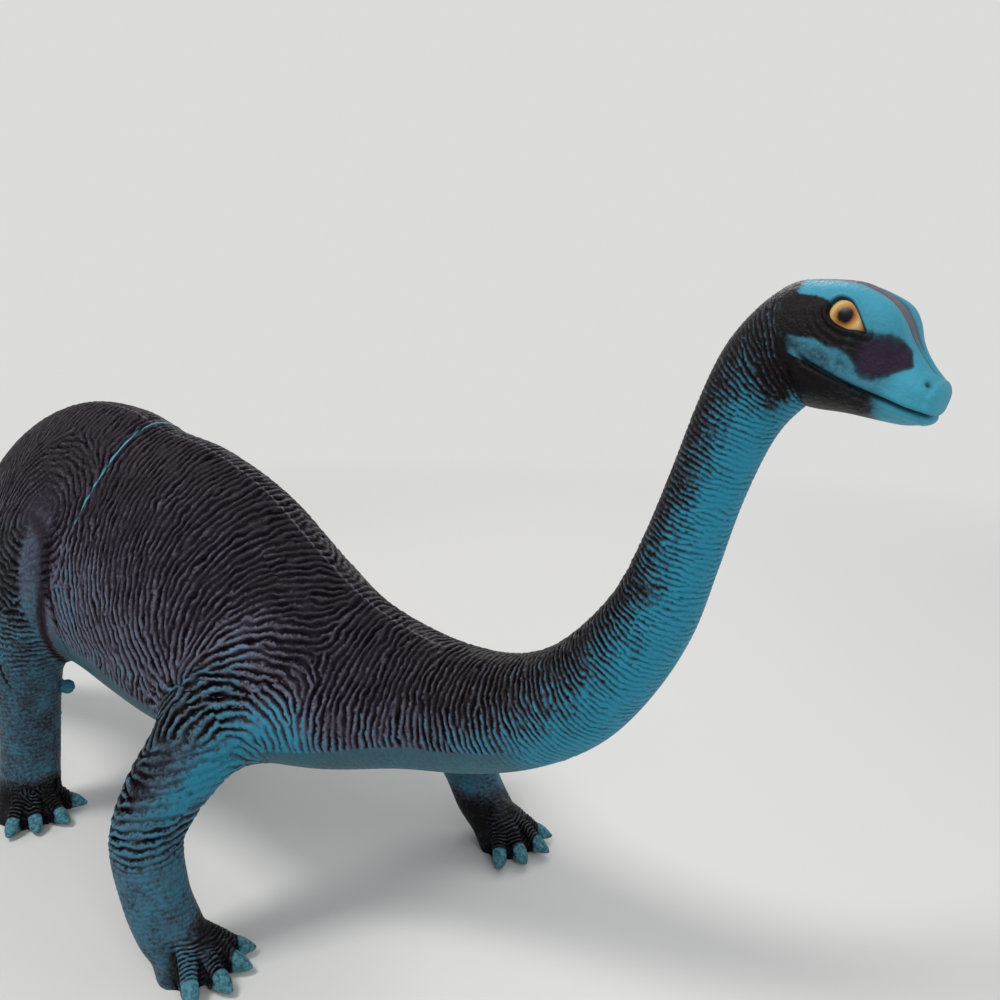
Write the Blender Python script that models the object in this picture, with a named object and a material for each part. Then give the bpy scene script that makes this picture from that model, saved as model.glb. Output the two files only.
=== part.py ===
"""A long-necked toy dinosaur made of hollow soft-vinyl castings plugged into each other.

The trunk with its neck, the head, the hindquarters and the tail are shells along one body line.
Each shell has a collar at its front rim, and the next shell slides over that collar.
Each leg is a hollow casting with a round plug. The plug passes through a hole in the skin and
its flange holds it from the inside. The figure faces +X, its right side is -Y and it stands on z = 0.
"""

import math

import bpy
import numpy as np
from mathutils import Vector
from mathutils.bvhtree import BVHTree

# Trunk
TRUNK_LENGTH = 0.150
BACK_HEIGHT = 0.154
TRUNK_DEPTH = 0.098
TRUNK_WIDTH = 0.076

# Neck, from the front of the trunk to the head
NECK_REACH = 0.106
NECK_ROOT_HEIGHT_SHARE = 0.511039
NECK_ROOT_HEIGHT = NECK_ROOT_HEIGHT_SHARE * BACK_HEIGHT
NECK_RISE = 0.1043
NECK_DEPTH = 0.0174
NECK_WIDTH = 0.0172

# Tail, from the hips backwards
TAIL_LENGTH = 0.195
TAIL_ROOT_DEPTH = 0.084
TAIL_ROOT_WIDTH = 0.066

# Head
HEAD_LENGTH = 0.031
HEAD_DEPTH = 0.026
HEAD_WIDTH = 0.0244
HEAD_PITCH = math.radians(20)
NECK_END_LEANS = (math.radians(46), math.radians(14))
EYE_DIAMETER = 0.0076
EYE_PROUD = 0.0011
EYE_SOCKET_DEPTH = 0.0012
EYE_ROOT = 0.0006
LID_WIDTH = 0.0006
BROW_HEIGHT = 0.0013
NOSTRIL_DIAMETER = 0.0016
MOUTH_GROOVE_WIDTH = 0.0008
MOUTH_GROOVE_DEPTH = 0.0009

# Castings
WALL = 0.0024
SEAM_GAP = 0.0003
COLLAR_LENGTH = 0.007
COLLAR_WALL = 0.0020
COLLAR_RINGS = 3

# Forelegs
FORELEG_HEIGHT = 0.082
FORELEG_THICKNESS = 0.0184
SHOULDER_TRACK = 0.032
SHOULDER_PLACE = 0.106
RIGHT_FORE_STRIDE = 0.105
RIGHT_FORE_SPREAD = 0.053
RIGHT_FORE_BOW = 0.0115
LEFT_FORE_STRIDE = 0.136
LEFT_FORE_SPREAD = 0.058
LEFT_FORE_BOW = 0.0225
LEFT_FORE_TURN = math.radians(12)

# Hind legs, which end in the haunch at a share of the back's height
HIP_HEIGHT_SHARE = 0.7662338
HIND_LEG_HEIGHT = HIP_HEIGHT_SHARE * BACK_HEIGHT
HIND_LEG_THICKNESS = 0.021
HIP_TRACK = 0.034
HIP_PLACE = -0.006
RIGHT_HIND_STRIDE = -0.020
RIGHT_HIND_SPREAD = 0.035
RIGHT_HIND_BOW = 0.0028
LEFT_HIND_STRIDE = -0.013
LEFT_HIND_SPREAD = 0.038
LEFT_HIND_BOW = 0.0045

# Feet
TOE_REACH = 0.0208
TOE_THICKNESS = 0.0122
TOE_ARCH_HEIGHT = 0.0098
NAIL_LENGTH = 0.0056
NAIL_THICKNESS = 0.0078
SOLID_FOOT_HEIGHT = 0.010

# Plugs that hold the legs in the skin
PLUG_DIAMETER = 0.017
FLANGE_DIAMETER = 0.0200
FLANGE_THICKNESS = 0.0016
SEAT_CLEARANCE = 0.0006
PLUG_ROOT = 0.0050
CUT_OVERRUN = 0.002

# How finely each form is divided
AROUND_SHELL = 24
AROUND_LEG = 14
AROUND_TOE = 8
RINGS_PER_STATION = 1.6
HEAD_RINGS_PER_STATION = 2.5
STATION_STEP_SHARE = 0.01
HOLLOW_STEP_SHARE = 0.05
SKIN_STEP = math.radians(4)
SHARP_EDGE = math.radians(40)

# Stations of the body line. Each row gives the place along the part, the height of the middle,
# the depth, the width and how much narrower the section is at the top, each as a share.
TAIL_SHARES = (
    (1.000, 0.156, 0.060, 0.076, 0.00),
    (0.887, 0.156, 0.119, 0.152, 0.00),
    (0.723, 0.214, 0.214, 0.258, 0.00),
    (0.554, 0.325, 0.333, 0.394, 0.05),
    (0.395, 0.461, 0.524, 0.576, 0.10),
    (0.262, 0.578, 0.750, 0.788, 0.15),
    (0.128, 0.656, 1.000, 1.000, 0.22),
)
TRUNK_SHARES = (
    (-0.113, 0.688, 0.980, 0.960, 0.28),
    (0.040, 0.682, 1.000, 0.974, 0.32),
    (0.167, 0.659, 0.959, 0.974, 0.36),
    (0.320, 0.636, 0.949, 1.000, 0.40),
    (0.493, 0.597, 0.867, 1.000, 0.47),
    (0.667, 0.545, 0.704, 0.921, 0.52),
    (0.840, 0.513, 0.541, 0.724, 0.47),
    (1.000, 0.511, 0.404, 0.566, 0.20),
)
# On the neck the height is a share of the rise.
NECK_SHARES = (
    (0.189, 0.012, 1.954, 2.093),
    (0.358, 0.058, 1.724, 1.860),
    (0.500, 0.137, 1.563, 1.628),
    (0.613, 0.252, 1.379, 1.395),
    (0.703, 0.386, 1.207, 1.198),
    (0.764, 0.535, 1.069, 1.070),
    (0.819, 0.688, 1.000, 1.000),
    (0.877, 0.832, 1.057, 1.023),
    (0.934, 0.928, 1.218, 1.093),
    (1.000, 0.992, 1.370, 1.209),
)
# On the head: place along the head, height above and below its axis, width, and how far the
# section has turned to the head's pitch.
HEAD_SHARES = (
    (0.161, 0.568, 0.423, 0.943, 0.30),
    (0.323, 0.615, 0.385, 1.000, 0.80),
    (0.484, 0.577, 0.338, 0.984, 1.00),
    (0.613, 0.477, 0.308, 0.869, 1.00),
    (0.710, 0.354, 0.288, 0.738, 1.00),
    (0.839, 0.231, 0.254, 0.623, 1.00),
    (0.935, 0.154, 0.185, 0.492, 1.00),
    (1.000, 0.092, 0.077, 0.246, 1.00),
)

# Leg stations from the floor up: height, spread from the shoulder or hip to the foot, backward
# bow, and thickness along and across the stride.
FORELEG_SHARES = (
    (-0.030, 1.000, 0.000, 1.304, 1.304),
    (0.073, 1.013, 0.100, 1.250, 1.304),
    (0.171, 1.068, 0.390, 1.033, 1.065),
    (0.305, 1.120, 0.640, 1.000, 1.033),
    (0.488, 1.095, 1.000, 1.087, 1.141),
    (0.634, 0.930, 0.950, 1.200, 1.290),
    (0.756, 0.700, 0.800, 1.380, 1.400),
    (0.854, 0.490, 0.750, 1.500, 1.480),
    (0.940, 0.230, 0.500, 1.400, 1.400),
    (1.000, 0.000, 0.300, 1.250, 1.250),
)
HIND_LEG_SHARES = (
    (-0.020, 1.000, 0.000, 1.190, 1.190),
    (0.051, 1.000, 0.000, 1.190, 1.190),
    (0.119, 0.944, 0.800, 1.030, 1.030),
    (0.254, 0.889, 1.000, 1.000, 1.000),
    (0.424, 0.944, 0.600, 1.095, 1.095),
    (0.593, 0.980, 0.350, 1.560, 1.200),
    (0.763, 0.900, 0.200, 2.260, 1.280),
    (0.890, 0.640, 0.100, 2.560, 1.220),
    (0.960, 0.300, 0.000, 2.200, 1.000),
    (1.000, 0.000, 0.000, 1.700, 0.800),
)
# The station at which a foot stops lying flat and its sections follow the leg.
ANKLE_SHARES = (0.073, 0.200)
# Where each plug leaves the leg's line, as a share of the line's stations.
FORE_PLUG_SHARE = 0.80
HIND_PLUG_SHARE = 0.80

# Toes: degrees from straight ahead towards the inside of the foot, and reach.
FORE_TOE_SHARES = ((62, 1.000), (35, 0.975), (3, 1.000), (-29, 0.950))
HIND_TOE_SHARES = ((58, 0.950), (12, 0.975), (-22, 0.900), (-52, 0.950))
# A toe's stations: place along the toe before the nail, height of its middle, thickness.
TOE_SHARES = (
    (0.10, 0.950, 0.880),
    (0.40, 1.000, 1.000),
    (0.66, 0.840, 1.000),
    (0.90, 0.550, 0.880),
    (1.00, 0.440, 0.640),
)
# A nail's stations: place along the nail, height as a share of the toe's end, thickness.
NAIL_SHARES = ((0.00, 0.950, 0.800), (0.60, 0.620, 0.620), (0.95, 0.400, 0.240))

# Seams and inner ends, as stations of the body line counted from the tail's tip.
TAIL_SEAM_STATION = 5.3
HIP_SEAM_STATION = 8.7
HEAD_SEAM_STATION = 24.0
TAIL_HOLLOW_STATION = 2.5
HEAD_HOLLOW_STATION = 28.4

# Face, in shares of the head's length, depth and width.
EYE_ALONG_SHARE = 0.345
EYE_TURN = math.radians(54)
EYE_SQUINT_SHARE = 0.86
MOUTH_LINE_SHARES = (
    (0.130, -0.010),
    (0.350, -0.035),
    (0.600, -0.070),
    (0.850, -0.100),
    (1.150, -0.105),
)
NOSTRIL_ALONG_SHARE = 0.905
SNOUT_TIP_SHARE = 1.046
NOSTRIL_TURN = math.radians(58)
# Soft swellings: place along the head, degrees from the crown, reach along the head, reach in
# degrees, and height as a share of the brow's height.
FACE_SHARES = (
    (0.420, 34, 0.260, 15, 1.00),
    (0.580, 40, 0.130, 18, 1.30),
    (0.300, 80, 0.200, 16, -0.45),
    (0.660, 62, 0.140, 20, -0.55),
    (0.600, 0, 0.250, 12, -0.50),
    (0.870, 66, 0.120, 26, 0.50),
    (0.240, 118, 0.200, 18, 0.40),
)

VINYL_COLOURS = {
    "trunk_shell": (0.030, 0.055, 0.070),
    "hindquarters_shell": (0.022, 0.035, 0.045),
    "tail_shell": (0.030, 0.060, 0.078),
    "head_shell": (0.050, 0.240, 0.320),
    "right_foreleg": (0.045, 0.160, 0.215),
    "left_foreleg": (0.050, 0.130, 0.180),
    "right_hind_leg": (0.045, 0.160, 0.215),
    "left_hind_leg": (0.050, 0.130, 0.180),
}
VINYL_ROUGHNESS = 0.38


def clear_scene():
    for obj in list(bpy.data.objects):
        bpy.data.objects.remove(obj, do_unlink=True)


def smooth_rows(rows, at):
    """Rows read at fractional stations, on a smooth curve through all of them."""
    rows = np.asarray(rows, float)
    at = np.atleast_1d(np.asarray(at, float))
    last = len(rows) - 1
    low = np.clip(np.floor(at).astype(int), 0, last - 1)
    part = (at - low)[:, None]
    start, end = rows[low], rows[low + 1]
    before = np.where((low > 0)[:, None], rows[np.maximum(low - 1, 0)], 2 * start - end)
    after = np.where((low < last - 1)[:, None], rows[np.minimum(low + 2, last)], 2 * end - start)
    slope = end - before
    bend = 2 * before - 5 * start + 4 * end - after
    twist = 3 * (start - end) + after - before
    return start + 0.5 * part * (slope + part * (bend + part * twist))


def body_rows():
    """Each row: x, z, height above and below the middle, half width, narrowing and lean."""
    rows = []
    for along, height, depth, width, narrowing in TAIL_SHARES:
        half = depth * TAIL_ROOT_DEPTH / 2
        x = TRUNK_SHARES[0][0] * TRUNK_LENGTH - along * TAIL_LENGTH
        rows.append([x, height * BACK_HEIGHT, half, half, width * TAIL_ROOT_WIDTH / 2, narrowing])
    for along, height, depth, width, narrowing in TRUNK_SHARES:
        half = depth * TRUNK_DEPTH / 2
        x = along * TRUNK_LENGTH
        rows.append([x, height * BACK_HEIGHT, half, half, width * TRUNK_WIDTH / 2, narrowing])
    for along, rise, depth, width in NECK_SHARES:
        half = depth * NECK_DEPTH / 2
        x = TRUNK_LENGTH + along * NECK_REACH
        z = NECK_ROOT_HEIGHT + rise * NECK_RISE
        rows.append([x, z, half, half, width * NECK_WIDTH / 2, 0])
    add_leans(rows)
    neck_x, neck_z = rows[-1][:2]
    for along, top, bottom, width, turn in HEAD_SHARES:
        x = neck_x + along * HEAD_LENGTH * math.cos(HEAD_PITCH)
        z = neck_z - along * HEAD_LENGTH * math.sin(HEAD_PITCH)
        lean = -turn * HEAD_PITCH
        rows.append([x, z, top * HEAD_DEPTH, bottom * HEAD_DEPTH, width * HEAD_WIDTH / 2, 0, lean])
    return rows


def add_leans(rows):
    """Each section leans with the slope of the line, but the last ones turn towards the head."""
    last = len(rows) - 1
    leans = []
    for index in range(len(rows)):
        behind, ahead = rows[max(index - 1, 0)], rows[min(index + 1, last)]
        leans.append(math.atan2(ahead[1] - behind[1], ahead[0] - behind[0]))
    leans[-len(NECK_END_LEANS) :] = NECK_END_LEANS
    for row, lean in zip(rows, leans):
        row.append(lean)


BODY_ROWS = body_rows()
HEAD_START = len(TAIL_SHARES) + len(TRUNK_SHARES) + len(NECK_SHARES) - 1


def face_relief(along, angle):
    """Height of the face's soft swellings at a share of the head's length."""
    relief = 0
    for place, degrees, reach, spread, height in FACE_SHARES:
        off = abs(math.degrees(angle)) - degrees
        relief += height * BROW_HEIGHT * math.exp(-(((along - place) / reach) ** 2) - (off / spread) ** 2)
    return relief


def body_point(station, inset, angle):
    """A point of one section, at an angle from its top round by the left side."""
    x, z, top, bottom, half_width, narrowing, lean = smooth_rows(BODY_ROWS, station)[0]
    along_head = (x - BODY_ROWS[HEAD_START][0]) / (HEAD_LENGTH * math.cos(HEAD_PITCH))
    signed = angle if angle <= math.pi else angle - 2 * math.pi
    above = top if math.cos(angle) > 0 else bottom
    relief = face_relief(along_head, signed) if along_head > 0 else 0
    rise = (above - inset + relief) * math.cos(angle)
    side = (half_width - inset + relief) * math.sin(angle) * (1 - narrowing * math.cos(angle))
    return Vector((x - rise * math.sin(lean), side, z + rise * math.cos(lean)))


def body_ring(station, inset, sides):
    """Points of one whole section, starting at the top."""
    return [body_point(station, inset, 2 * math.pi * index / sides) for index in range(sides)]


def station_past(station, distance):
    """The station that lies this far further along the body line."""
    here = np.array(smooth_rows(BODY_ROWS, station)[0][:2])
    step = math.copysign(STATION_STEP_SHARE, distance)
    gone = 0
    while gone < abs(distance):
        station += step
        there = np.array(smooth_rows(BODY_ROWS, station)[0][:2])
        gone += float(np.linalg.norm(there - here))
        here = there
    return station


def spaced(first, last, rate=RINGS_PER_STATION):
    """Stations from first to last, evenly spaced."""
    return np.linspace(first, last, max(int(abs(last - first) * rate), 1) + 1)


def solid_from_rings(name, rings, start=None, end=None):
    """A closed mesh through rings of points. It ends in points where start and end are given,
    and otherwise the last ring joins the first."""
    sides = len(rings[0])
    points = [point for ring in rings for point in ring]
    faces = []
    pairs = list(range(len(rings) - 1))
    if start is None:
        pairs.append(len(rings) - 1)
    for number in pairs:
        here = number * sides
        there = (number + 1) % len(rings) * sides
        for index in range(sides):
            following = (index + 1) % sides
            faces.append((here + index, here + following, there + following, there + index))
    if start is not None:
        points.append(start)
        faces += [((index + 1) % sides, index, len(points) - 1) for index in range(sides)]
        base = (len(rings) - 1) * sides
        points.append(end)
        faces += [(base + index, base + (index + 1) % sides, len(points) - 1) for index in range(sides)]
    mesh = bpy.data.meshes.new(name)
    mesh.from_pydata(points, [], faces)
    mesh.validate()
    obj = bpy.data.objects.new(name, mesh)
    bpy.context.scene.collection.objects.link(obj)
    face_out(obj)
    return obj


def face_out(obj):
    """Turns the faces outwards if the solid is inside out."""
    mesh = obj.data
    mesh.calc_loop_triangles()
    volume = 0
    for triangle in mesh.loop_triangles:
        a, b, c = (mesh.vertices[index].co for index in triangle.vertices)
        volume += a.dot(b.cross(c))
    if volume < 0:
        mesh.flip_normals()


def combine(obj, other, operation):
    """Applies one Boolean and removes the other solid."""
    modifier = obj.modifiers.new("combine", "BOOLEAN")
    modifier.operation = operation
    modifier.solver = "EXACT"
    modifier.object = other
    graph = bpy.context.evaluated_depsgraph_get()
    mesh = bpy.data.meshes.new_from_object(obj.evaluated_get(graph))
    obj.modifiers.remove(modifier)
    obj.data = mesh
    bpy.data.objects.remove(other, do_unlink=True)


def turned(name, profile, place, axis, sides):
    """A solid turned about an axis. The profile lists (distance along, radius) between two ends."""
    across = axis.orthogonal().normalized()
    other = axis.cross(across)
    rings = []
    for distance, radius in profile:
        middle = place + axis * distance
        ring = []
        for index in range(sides):
            angle = 2 * math.pi * index / sides
            ring.append(middle + radius * (math.cos(angle) * across + math.sin(angle) * other))
        rings.append(ring)
    start = place + axis * profile[0][0]
    end = place + axis * profile[-1][0]
    return solid_from_rings(name, rings, start, end)


def middle_of(ring):
    return sum(ring, Vector()) / len(ring)


def body_solid(name, stations, inset):
    """The body's form through these stations, solid, drawn in by the inset."""
    rings = [body_ring(station, inset, AROUND_SHELL) for station in stations]
    return solid_from_rings(name, rings, middle_of(rings[0]), middle_of(rings[-1]))


def outer_stations(rear, front):
    """Stations of one shell's outer surface, from its socket's rim to its front seam."""
    return list(spaced(station_past(rear, SEAM_GAP), front))


def collar_stations(seam):
    """Stations along a collar, from its seam to its tip. The socket's wall has rings there too."""
    return [station_past(seam, COLLAR_LENGTH * step / COLLAR_RINGS) for step in range(COLLAR_RINGS + 1)]


def collar_rings(seam):
    """Rings from the outer rim at a seam over the collar and back to the inner wall."""
    outside = WALL + SEAM_GAP
    inside = outside + COLLAR_WALL
    stations = collar_stations(seam)
    root = station_past(seam, -COLLAR_LENGTH)
    rings = [body_ring(seam, 0, AROUND_SHELL)]
    rings += [body_ring(station, outside, AROUND_SHELL) for station in stations]
    rings += [body_ring(station, inside, AROUND_SHELL) for station in reversed(stations)]
    rings.append(body_ring(root, WALL, AROUND_SHELL))
    return rings, root


def socket_stations(seam, deep_end):
    """Stations of the inner wall from its deep end back to the rim that slides over a collar."""
    stations = collar_stations(seam)
    stations[0] = station_past(seam, SEAM_GAP)
    return list(spaced(deep_end, stations[-1])[:-1]) + stations[::-1]


def open_shell(name, rear, front):
    """A shell with a socket at its rear rim and a collar at its front rim."""
    outer = [body_ring(station, 0, AROUND_SHELL) for station in outer_stations(rear, front)[:-1]]
    collar, root = collar_rings(front)
    inner = [body_ring(station, WALL, AROUND_SHELL) for station in socket_stations(rear, root)[1:]]
    return solid_from_rings(name, outer + collar + inner)


def make_tail():
    """Closed at the tip, solid in its thin end, with a collar for the hindquarters."""
    outer = [body_ring(station, 0, AROUND_SHELL) for station in spaced(0, TAIL_SEAM_STATION)[:-1]]
    collar, root = collar_rings(TAIL_SEAM_STATION)
    inner = [body_ring(station, WALL, AROUND_SHELL) for station in spaced(root, TAIL_HOLLOW_STATION)[1:]]
    middle = middle_of(outer[0])
    radius = (outer[0][0] - middle).length
    tip = middle - Vector((radius, 0, 0))
    return solid_from_rings("tail_shell", outer + collar + inner, tip, middle_of(inner[-1]))


def head_axes():
    """The head's start point, its forward direction and its upward direction."""
    x, z = BODY_ROWS[HEAD_START][:2]
    forward = Vector((math.cos(HEAD_PITCH), 0, -math.sin(HEAD_PITCH)))
    upward = Vector((math.sin(HEAD_PITCH), 0, math.cos(HEAD_PITCH)))
    return Vector((x, 0, z)), forward, upward


def on_head(along_share, height_share):
    """A point on the head's middle plane, in shares of its length and depth."""
    start, forward, upward = head_axes()
    return start + forward * along_share * HEAD_LENGTH + upward * height_share * HEAD_DEPTH


def on_face(along_share, turn):
    """A point of the head's skin, the skin's outward direction there and the head's forward one."""
    places = [0] + [row[0] for row in HEAD_SHARES]
    station = HEAD_START + float(np.interp(along_share, places, range(len(places))))
    point = body_point(station, 0, turn)
    _, forward, _ = head_axes()
    edge = body_point(station, 0, turn + SKIN_STEP) - body_point(station, 0, turn - SKIN_STEP)
    outward = edge.cross(forward).normalized()
    if outward.y * turn < 0:
        outward = -outward
    return point, outward, forward


def mouth_cutter():
    """A thin plate along the mouth, kept only in the outer skin of the head."""
    _, _, upward = head_axes()
    half = upward * MOUTH_GROOVE_WIDTH / 2
    reach = Vector((0, HEAD_WIDTH, 0))
    rings = []
    for along, height in MOUTH_LINE_SHARES:
        place = on_head(along, height)
        upper = place + half
        lower = place - half
        rings.append([lower - reach, upper - reach, upper + reach, lower + reach])
    plate = solid_from_rings("mouth_plate", rings, middle_of(rings[0]), middle_of(rings[-1]))
    core = body_solid("mouth_core", spaced(HEAD_START, len(BODY_ROWS) - 1), MOUTH_GROOVE_DEPTH)
    combine(plate, core, "DIFFERENCE")
    return plate


def make_head():
    """Open at the neck, solid in the snout, with eyes, nostrils and a mouth groove."""
    last = len(BODY_ROWS) - 1
    rear = station_past(HEAD_SEAM_STATION, SEAM_GAP)
    outer = [body_ring(station, 0, AROUND_SHELL) for station in spaced(rear, last, HEAD_RINGS_PER_STATION)]
    inner_stations = socket_stations(HEAD_SEAM_STATION, HEAD_HOLLOW_STATION)
    inner = [body_ring(station, WALL, AROUND_SHELL) for station in inner_stations]
    snout = on_head(SNOUT_TIP_SHARE, 0)
    head = solid_from_rings("head_shell", inner + outer, middle_of(inner[0]), snout)
    combine(head, mouth_cutter(), "DIFFERENCE")
    for side in (-1, 1):
        skin, outward, forward = on_face(EYE_ALONG_SHARE, side * EYE_TURN)
        half = EYE_DIAMETER / 2
        socket = (half + LID_WIDTH, half * EYE_SQUINT_SHARE + LID_WIDTH, EYE_SOCKET_DEPTH)
        combine(head, lens("eye_socket", skin, outward, forward, socket), "DIFFERENCE")
        thickness = EYE_PROUD + EYE_SOCKET_DEPTH + EYE_ROOT
        middle = skin + outward * (EYE_PROUD - thickness / 2)
        eye = (half, half * EYE_SQUINT_SHARE, thickness / 2)
        combine(head, lens("eye", middle, outward, forward, eye), "UNION")
        skin, outward, forward = on_face(NOSTRIL_ALONG_SHARE, side * NOSTRIL_TURN)
        half = NOSTRIL_DIAMETER / 2
        combine(head, lens("nostril", skin, outward, forward, (half, half, half)), "DIFFERENCE")
    return head


def lens(name, place, outward, forward, halves, sides=14, rows=6):
    """An ellipsoid with its half sizes along, across and through the skin."""
    along = (forward - outward * forward.dot(outward)).normalized()
    across = outward.cross(along)
    rings = []
    for row in range(1, rows):
        lift = math.pi * row / rows
        middle = place - outward * halves[2] * math.cos(lift)
        ring = []
        for index in range(sides):
            angle = 2 * math.pi * index / sides
            reach = halves[0] * math.cos(angle) * along + halves[1] * math.sin(angle) * across
            ring.append(middle + reach * math.sin(lift))
        rings.append(ring)
    return solid_from_rings(name, rings, place - outward * halves[2], place + outward * halves[2])


def leg_rows(shares, height, thickness, place, track, stride, spread, bow, side):
    """Rows of one leg's line: x, y, z and half thickness along and across the stride."""
    rows = []
    for up, out, back, along, across in shares:
        x = stride + (place - stride) * max(up, 0) - back * bow
        y = side * (track / 2 + out * (spread - track / 2))
        rows.append((x, y, up * height, along * thickness / 2, across * thickness / 2))
    return rows


def leg_frame(rows, station):
    """Middle, direction and the two side directions of a leg's section."""
    here = smooth_rows(rows, station)[0]
    ahead = smooth_rows(rows, min(station + STATION_STEP_SHARE, len(rows) - 1))[0]
    behind = smooth_rows(rows, max(station - STATION_STEP_SHARE, 0))[0]
    direction = Vector(ahead[:3] - behind[:3]).normalized()
    height = here[2] / rows[-1][2]
    level = (height - ANKLE_SHARES[0]) / (ANKLE_SHARES[1] - ANKLE_SHARES[0])
    level = min(max(level, 0), 1)
    direction = (direction * level + Vector((0, 0, 1)) * (1 - level)).normalized()
    along = Vector((1, 0, 0)) - direction * direction.x
    along.normalize()
    across = direction.cross(along)
    return Vector(here[:3]), direction, along, across, float(here[3]), float(here[4])


def leg_ring(rows, station, inset, sides=AROUND_LEG):
    middle, _, along, across, half_along, half_across = leg_frame(rows, station)
    points = []
    for index in range(sides):
        angle = 2 * math.pi * index / sides
        reach = (half_along - inset) * math.cos(angle) * along
        points.append(middle + reach + (half_across - inset) * math.sin(angle) * across)
    return points


def toe(name, foot, angle, reach_share, side):
    """One toe from inside the foot to the tip of its nail."""
    outward = Vector((math.cos(angle), -side * math.sin(angle), 0))
    sideways = outward.cross(Vector((0, 0, 1)))
    flesh = reach_share * TOE_REACH - NAIL_LENGTH
    rows = []
    for along, height, thickness in TOE_SHARES:
        rows.append((along * flesh, height * TOE_ARCH_HEIGHT, thickness * TOE_THICKNESS / 2))
    end_height = rows[-1][1]
    for along, height, thickness in NAIL_SHARES:
        rows.append((flesh + along * NAIL_LENGTH, height * end_height, thickness * NAIL_THICKNESS / 2))
    rings = []
    for along, height, radius in rows:
        middle = foot + outward * along + Vector((0, 0, height))
        ring = []
        for index in range(AROUND_TOE):
            turn = 2 * math.pi * (index + 0.5) / AROUND_TOE
            ring.append(middle + radius * (math.cos(turn) * sideways + math.sin(turn) * Vector((0, 0, 1))))
        rings.append(ring)
    tip = foot + outward * (flesh + NAIL_LENGTH) + Vector((0, 0, rows[-1][1]))
    return solid_from_rings(name, rings, middle_of(rings[0]), tip)


def floor_block():
    """Everything below the floor, to cut the soles flat."""
    reach = TRUNK_LENGTH + TAIL_LENGTH + NECK_REACH + HEAD_LENGTH
    signs = ((-1, -1), (1, -1), (1, 1), (-1, 1))
    corners = [Vector((x * reach, y * reach, 0)) for x, y in signs]
    lower = [corner - Vector((0, 0, FORELEG_HEIGHT)) for corner in corners]
    return solid_from_rings("floor_block", [lower, corners], middle_of(lower), middle_of(corners))


def tree_of(obj):
    return BVHTree.FromObject(obj, bpy.context.evaluated_depsgraph_get())


def plug_axis(rows, share, skin):
    """The point where the leg's line enters the skin, and the way straight in through the skin."""
    middle, direction, _, _, _, _ = leg_frame(rows, share * (len(rows) - 1))
    place, outward, _, _ = tree_of(skin).ray_cast(middle - direction * FORELEG_HEIGHT, direction)
    return place, -outward


def plug_neck_length(place, direction):
    """How far in the flange sits, clear of the deepest point of the inner wall round its rim."""
    wall = body_form("inner_wall", WALL)
    tree = tree_of(wall)
    across = direction.orthogonal().normalized()
    other = direction.cross(across)
    depths = []
    for index in range(AROUND_LEG):
        angle = 2 * math.pi * index / AROUND_LEG
        rim = place + FLANGE_DIAMETER / 2 * (math.cos(angle) * across + math.sin(angle) * other)
        hit = tree.ray_cast(rim - direction * FLANGE_DIAMETER, direction)[0]
        if hit:
            depths.append((hit - place).dot(direction))
    bpy.data.objects.remove(wall, do_unlink=True)
    return max(depths) + SEAT_CLEARANCE


def hollow_start(rows):
    """The station of a leg's line above which the leg is hollow."""
    station = 0
    while smooth_rows(rows, station)[0][2] < SOLID_FOOT_HEIGHT:
        station += HOLLOW_STEP_SHARE
    return station


def body_form(name, inset):
    """The whole body's form, solid, with the facets of the shells' outer surface."""
    stations = list(spaced(0, TAIL_SEAM_STATION)[:-1])
    stations += outer_stations(TAIL_SEAM_STATION, HIP_SEAM_STATION)
    stations += outer_stations(HIP_SEAM_STATION, HEAD_SEAM_STATION)
    return body_solid(name, stations, inset)


def bore_reach(leg, place, direction):
    """How far a plug's bore runs outwards into the leg: half way from the skin to the leg's surface."""
    return tree_of(leg).ray_cast(place, -direction)[3] / 2


def leg_hollow(rows, share, place, direction, reach, neck):
    """The hollow of a leg: a wall away from its surface and from the skin, and out through its plug."""
    stations = spaced(hollow_start(rows), share * (len(rows) - 1))
    rings = [leg_ring(rows, station, WALL) for station in stations]
    hollow = solid_from_rings("hollow", rings, middle_of(rings[0]), middle_of(rings[-1]))
    combine(hollow, body_form("skin_wall", -SEAM_GAP - WALL), "DIFFERENCE")
    radius = PLUG_DIAMETER / 2 - WALL
    profile = ((-reach, radius), (neck + FLANGE_THICKNESS + CUT_OVERRUN, radius))
    combine(hollow, turned("bore", profile, place, direction, AROUND_LEG), "UNION")
    return hollow


def make_leg(name, rows, toes, turn, side, plug_share):
    """A hollow leg: its form less the skin, with toes, a plug and a bore."""
    rings = [leg_ring(rows, station, 0) for station in spaced(0, len(rows) - 1)]
    leg = solid_from_rings(name, rings, middle_of(rings[0]), middle_of(rings[-1]))
    skin = body_form("body_skin", -SEAM_GAP)
    place, direction = plug_axis(rows, plug_share, skin)
    reach = bore_reach(leg, place, direction)
    combine(leg, skin, "DIFFERENCE")
    foot = Vector((rows[1][0], rows[1][1], 0))
    for degrees, length in toes:
        combine(leg, toe("toe", foot, math.radians(degrees) - turn, length, side), "UNION")
    combine(leg, floor_block(), "DIFFERENCE")
    neck = plug_neck_length(place, direction)
    profile = (
        (-PLUG_ROOT, PLUG_DIAMETER / 2),
        (neck, PLUG_DIAMETER / 2),
        (neck, FLANGE_DIAMETER / 2),
        (neck + FLANGE_THICKNESS, FLANGE_DIAMETER / 2),
    )
    combine(leg, turned("plug", profile, place, direction, AROUND_LEG), "UNION")
    combine(leg, leg_hollow(rows, plug_share, place, direction, reach, neck), "DIFFERENCE")
    return leg, place, direction, neck


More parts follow.
